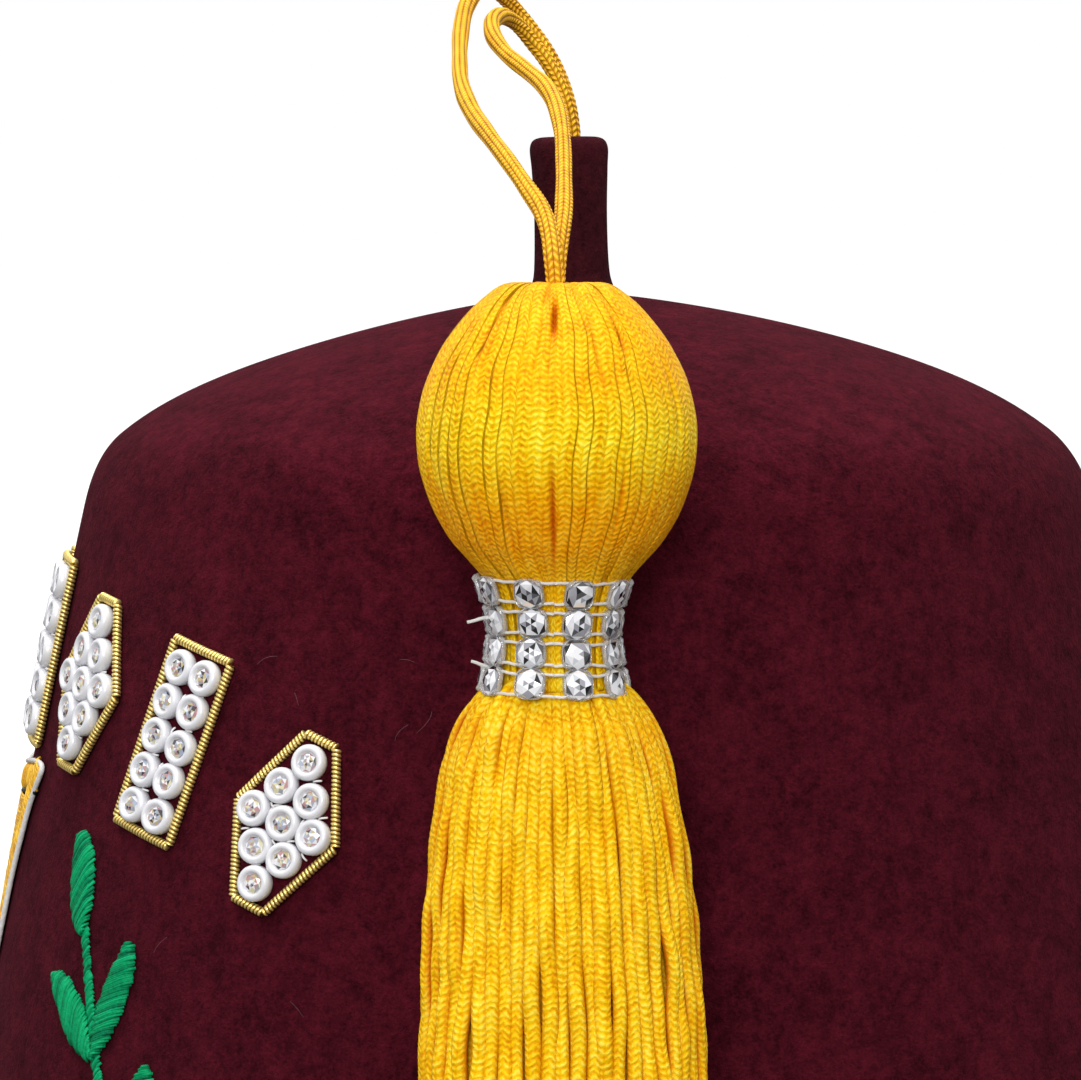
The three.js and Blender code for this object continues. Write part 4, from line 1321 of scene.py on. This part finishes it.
SPRIG_PLACE = {"distance": 60.0, "height": 29.0, "lean": -21.0}
SPRIG_PARTS = {  # foot x and y, length, width and lean from upright
    "stalk": (0.0, -23.0, 43.0, 1.8, 0.0),
    "bud": (0.0, 19.0, 16.0, 7.0, 0.0),
    "upper_left": (0.0, -1.0, 18.0, 6.0, -31.0),
    "upper_right": (0.0, -1.0, 19.0, 6.0, 35.0),
    "lower_left": (0.0, -18.0, 15.0, 5.5, -40.0),
    "lower_right": (0.0, -18.0, 17.0, 5.5, 40.0),
}
SLANT = 0.75  # rise of a thread for each unit across a leaf
STALK_WIDTH = 2.0  # anything narrower than this is a stalk
BLUNT, SHARP = 0.08, 0.75  # powers for the ends of a stalk and of a leaf


def leaf(foot_x, foot_y, length, width, lean, seed):
    """Slanting threads from edge to edge, for p from -1 at the foot to 1 at the tip.

    Half the width is width / 2 * (1 - p^2)^power. The stalk's power is low, so that its
    edges run straight, and a leaf's is high, so that it is pointed.
    """
    p = np.linspace(-0.97, 0.97, round(length / STITCH_PITCH))
    sharp = BLUNT if width < STALK_WIDTH else SHARP
    half = width / 2 * np.maximum(1 - p**2, 0.02) ** sharp
    rise = SLANT * half
    ends = []
    for side in (-1, 1):
        x, y = side * half, (p + 1) / 2 * length + side * rise
        turn = math.radians(lean)
        along = np.clip(y, 0, length)
        ends.append(np.column_stack([
            foot_x + x * math.cos(turn) + along * math.sin(turn),
            foot_y + along * math.cos(turn) - x * math.sin(turn),
        ]))
    return satin(ends[0], ends[1], min(0.9, width / 6), seed, ragged=0.35)


for side, name in ((1, "sprig_left"), (-1, "sprig_right")):
    leaves = [leaf(*part, seed=90 + k) for k, part in enumerate(SPRIG_PARTS.values())]
    skins = [skin(on_wall(grid, **SPRIG_PLACE, side=side), uv) for grid, uv in leaves]
    make_piece(name + "_stitching", skins, [green_satin.material], "green_stitching", name)

# ---- Studio -----------------------------------------------------------------------------
# A wide pale floor under an even white sky, and two soft lights: a large one above the hat
# and a smaller one in front of its tassel.

FLOOR_SIZE = 60.0
FLOOR_GLOW = 0.735  # makes the floor as white as the sky, where nothing shades it
FLOOR_SEEN = (0.46, 0.46, 0.46)
FLOOR_GIVEN = (0.14, 0.14, 0.14)  # what the floor throws back up at the hat
SKY_STRENGTH = 0.70  # of the light that the sky gives; it is seen as plain white
MIDDLE = (0.03, 0.0, 0.10)  # what both lights are turned to


def floor():
    """A flat square, just under the rim."""
    half = FLOOR_SIZE / 2
    mesh = bpy.data.meshes.new("floor")
    corners = [(-half, -half, 0), (half, -half, 0), (half, half, 0), (-half, half, 0)]
    mesh.from_pydata(corners, [], [(0, 1, 2, 3)])
    piece = bpy.data.objects.new("floor", mesh)
    bpy.context.scene.collection.objects.link(piece)
    white = (1.0, 1.0, 1.0, 1.0)
    paint = Finish("floor_paint", Roughness=1.0, Specular_IOR_Level=0.0, Emission_Color=white)
    seen = paint.node("LightPath", {}).outputs["Is Camera Ray"]
    paint.colour(paint.mix(seen, FLOOR_GIVEN, FLOOR_SEEN))
    glow = paint.math("MULTIPLY", seen, FLOOR_GLOW)
    paint.tree.links.new(glow, paint.shader.inputs["Emission Strength"])
    mesh.materials.append(paint.material)


def soft_light(name, place, size, power):
    """A square area light at a place, turned to face the middle of the hat."""
    data = bpy.data.lights.new(name, "AREA")
    data.size = size
    data.energy = power
    light = bpy.data.objects.new(name, data)
    light.location = place
    light.rotation_euler = (Vector(MIDDLE) - Vector(place)).to_track_quat("-Z", "Y").to_euler()
    bpy.context.scene.collection.objects.link(light)


floor()
soft_light("top_light", (0.1, -0.1, 1.4), size=1.2, power=21.0)
soft_light("side_light", (1.5, -0.20, 0.60), size=0.6, power=14.5)

sky = bpy.data.worlds.new("sky")
sky.use_nodes = True
sky_nodes, sky_links = sky.node_tree.nodes, sky.node_tree.links
seen = sky_nodes.new("ShaderNodeLightPath")
strength = sky_nodes.new("ShaderNodeMix")
strength.inputs[2].default_value = SKY_STRENGTH
strength.inputs[3].default_value = 1.0
sky_links.new(seen.outputs["Is Camera Ray"], strength.inputs[0])
sky_links.new(strength.outputs[0], sky_nodes["Background"].inputs["Strength"])
sky_nodes["Background"].inputs["Color"].default_value = (1.0, 1.0, 1.0, 1.0)
bpy.context.scene.world = sky
bpy.context.scene.view_settings.view_transform = "Standard"
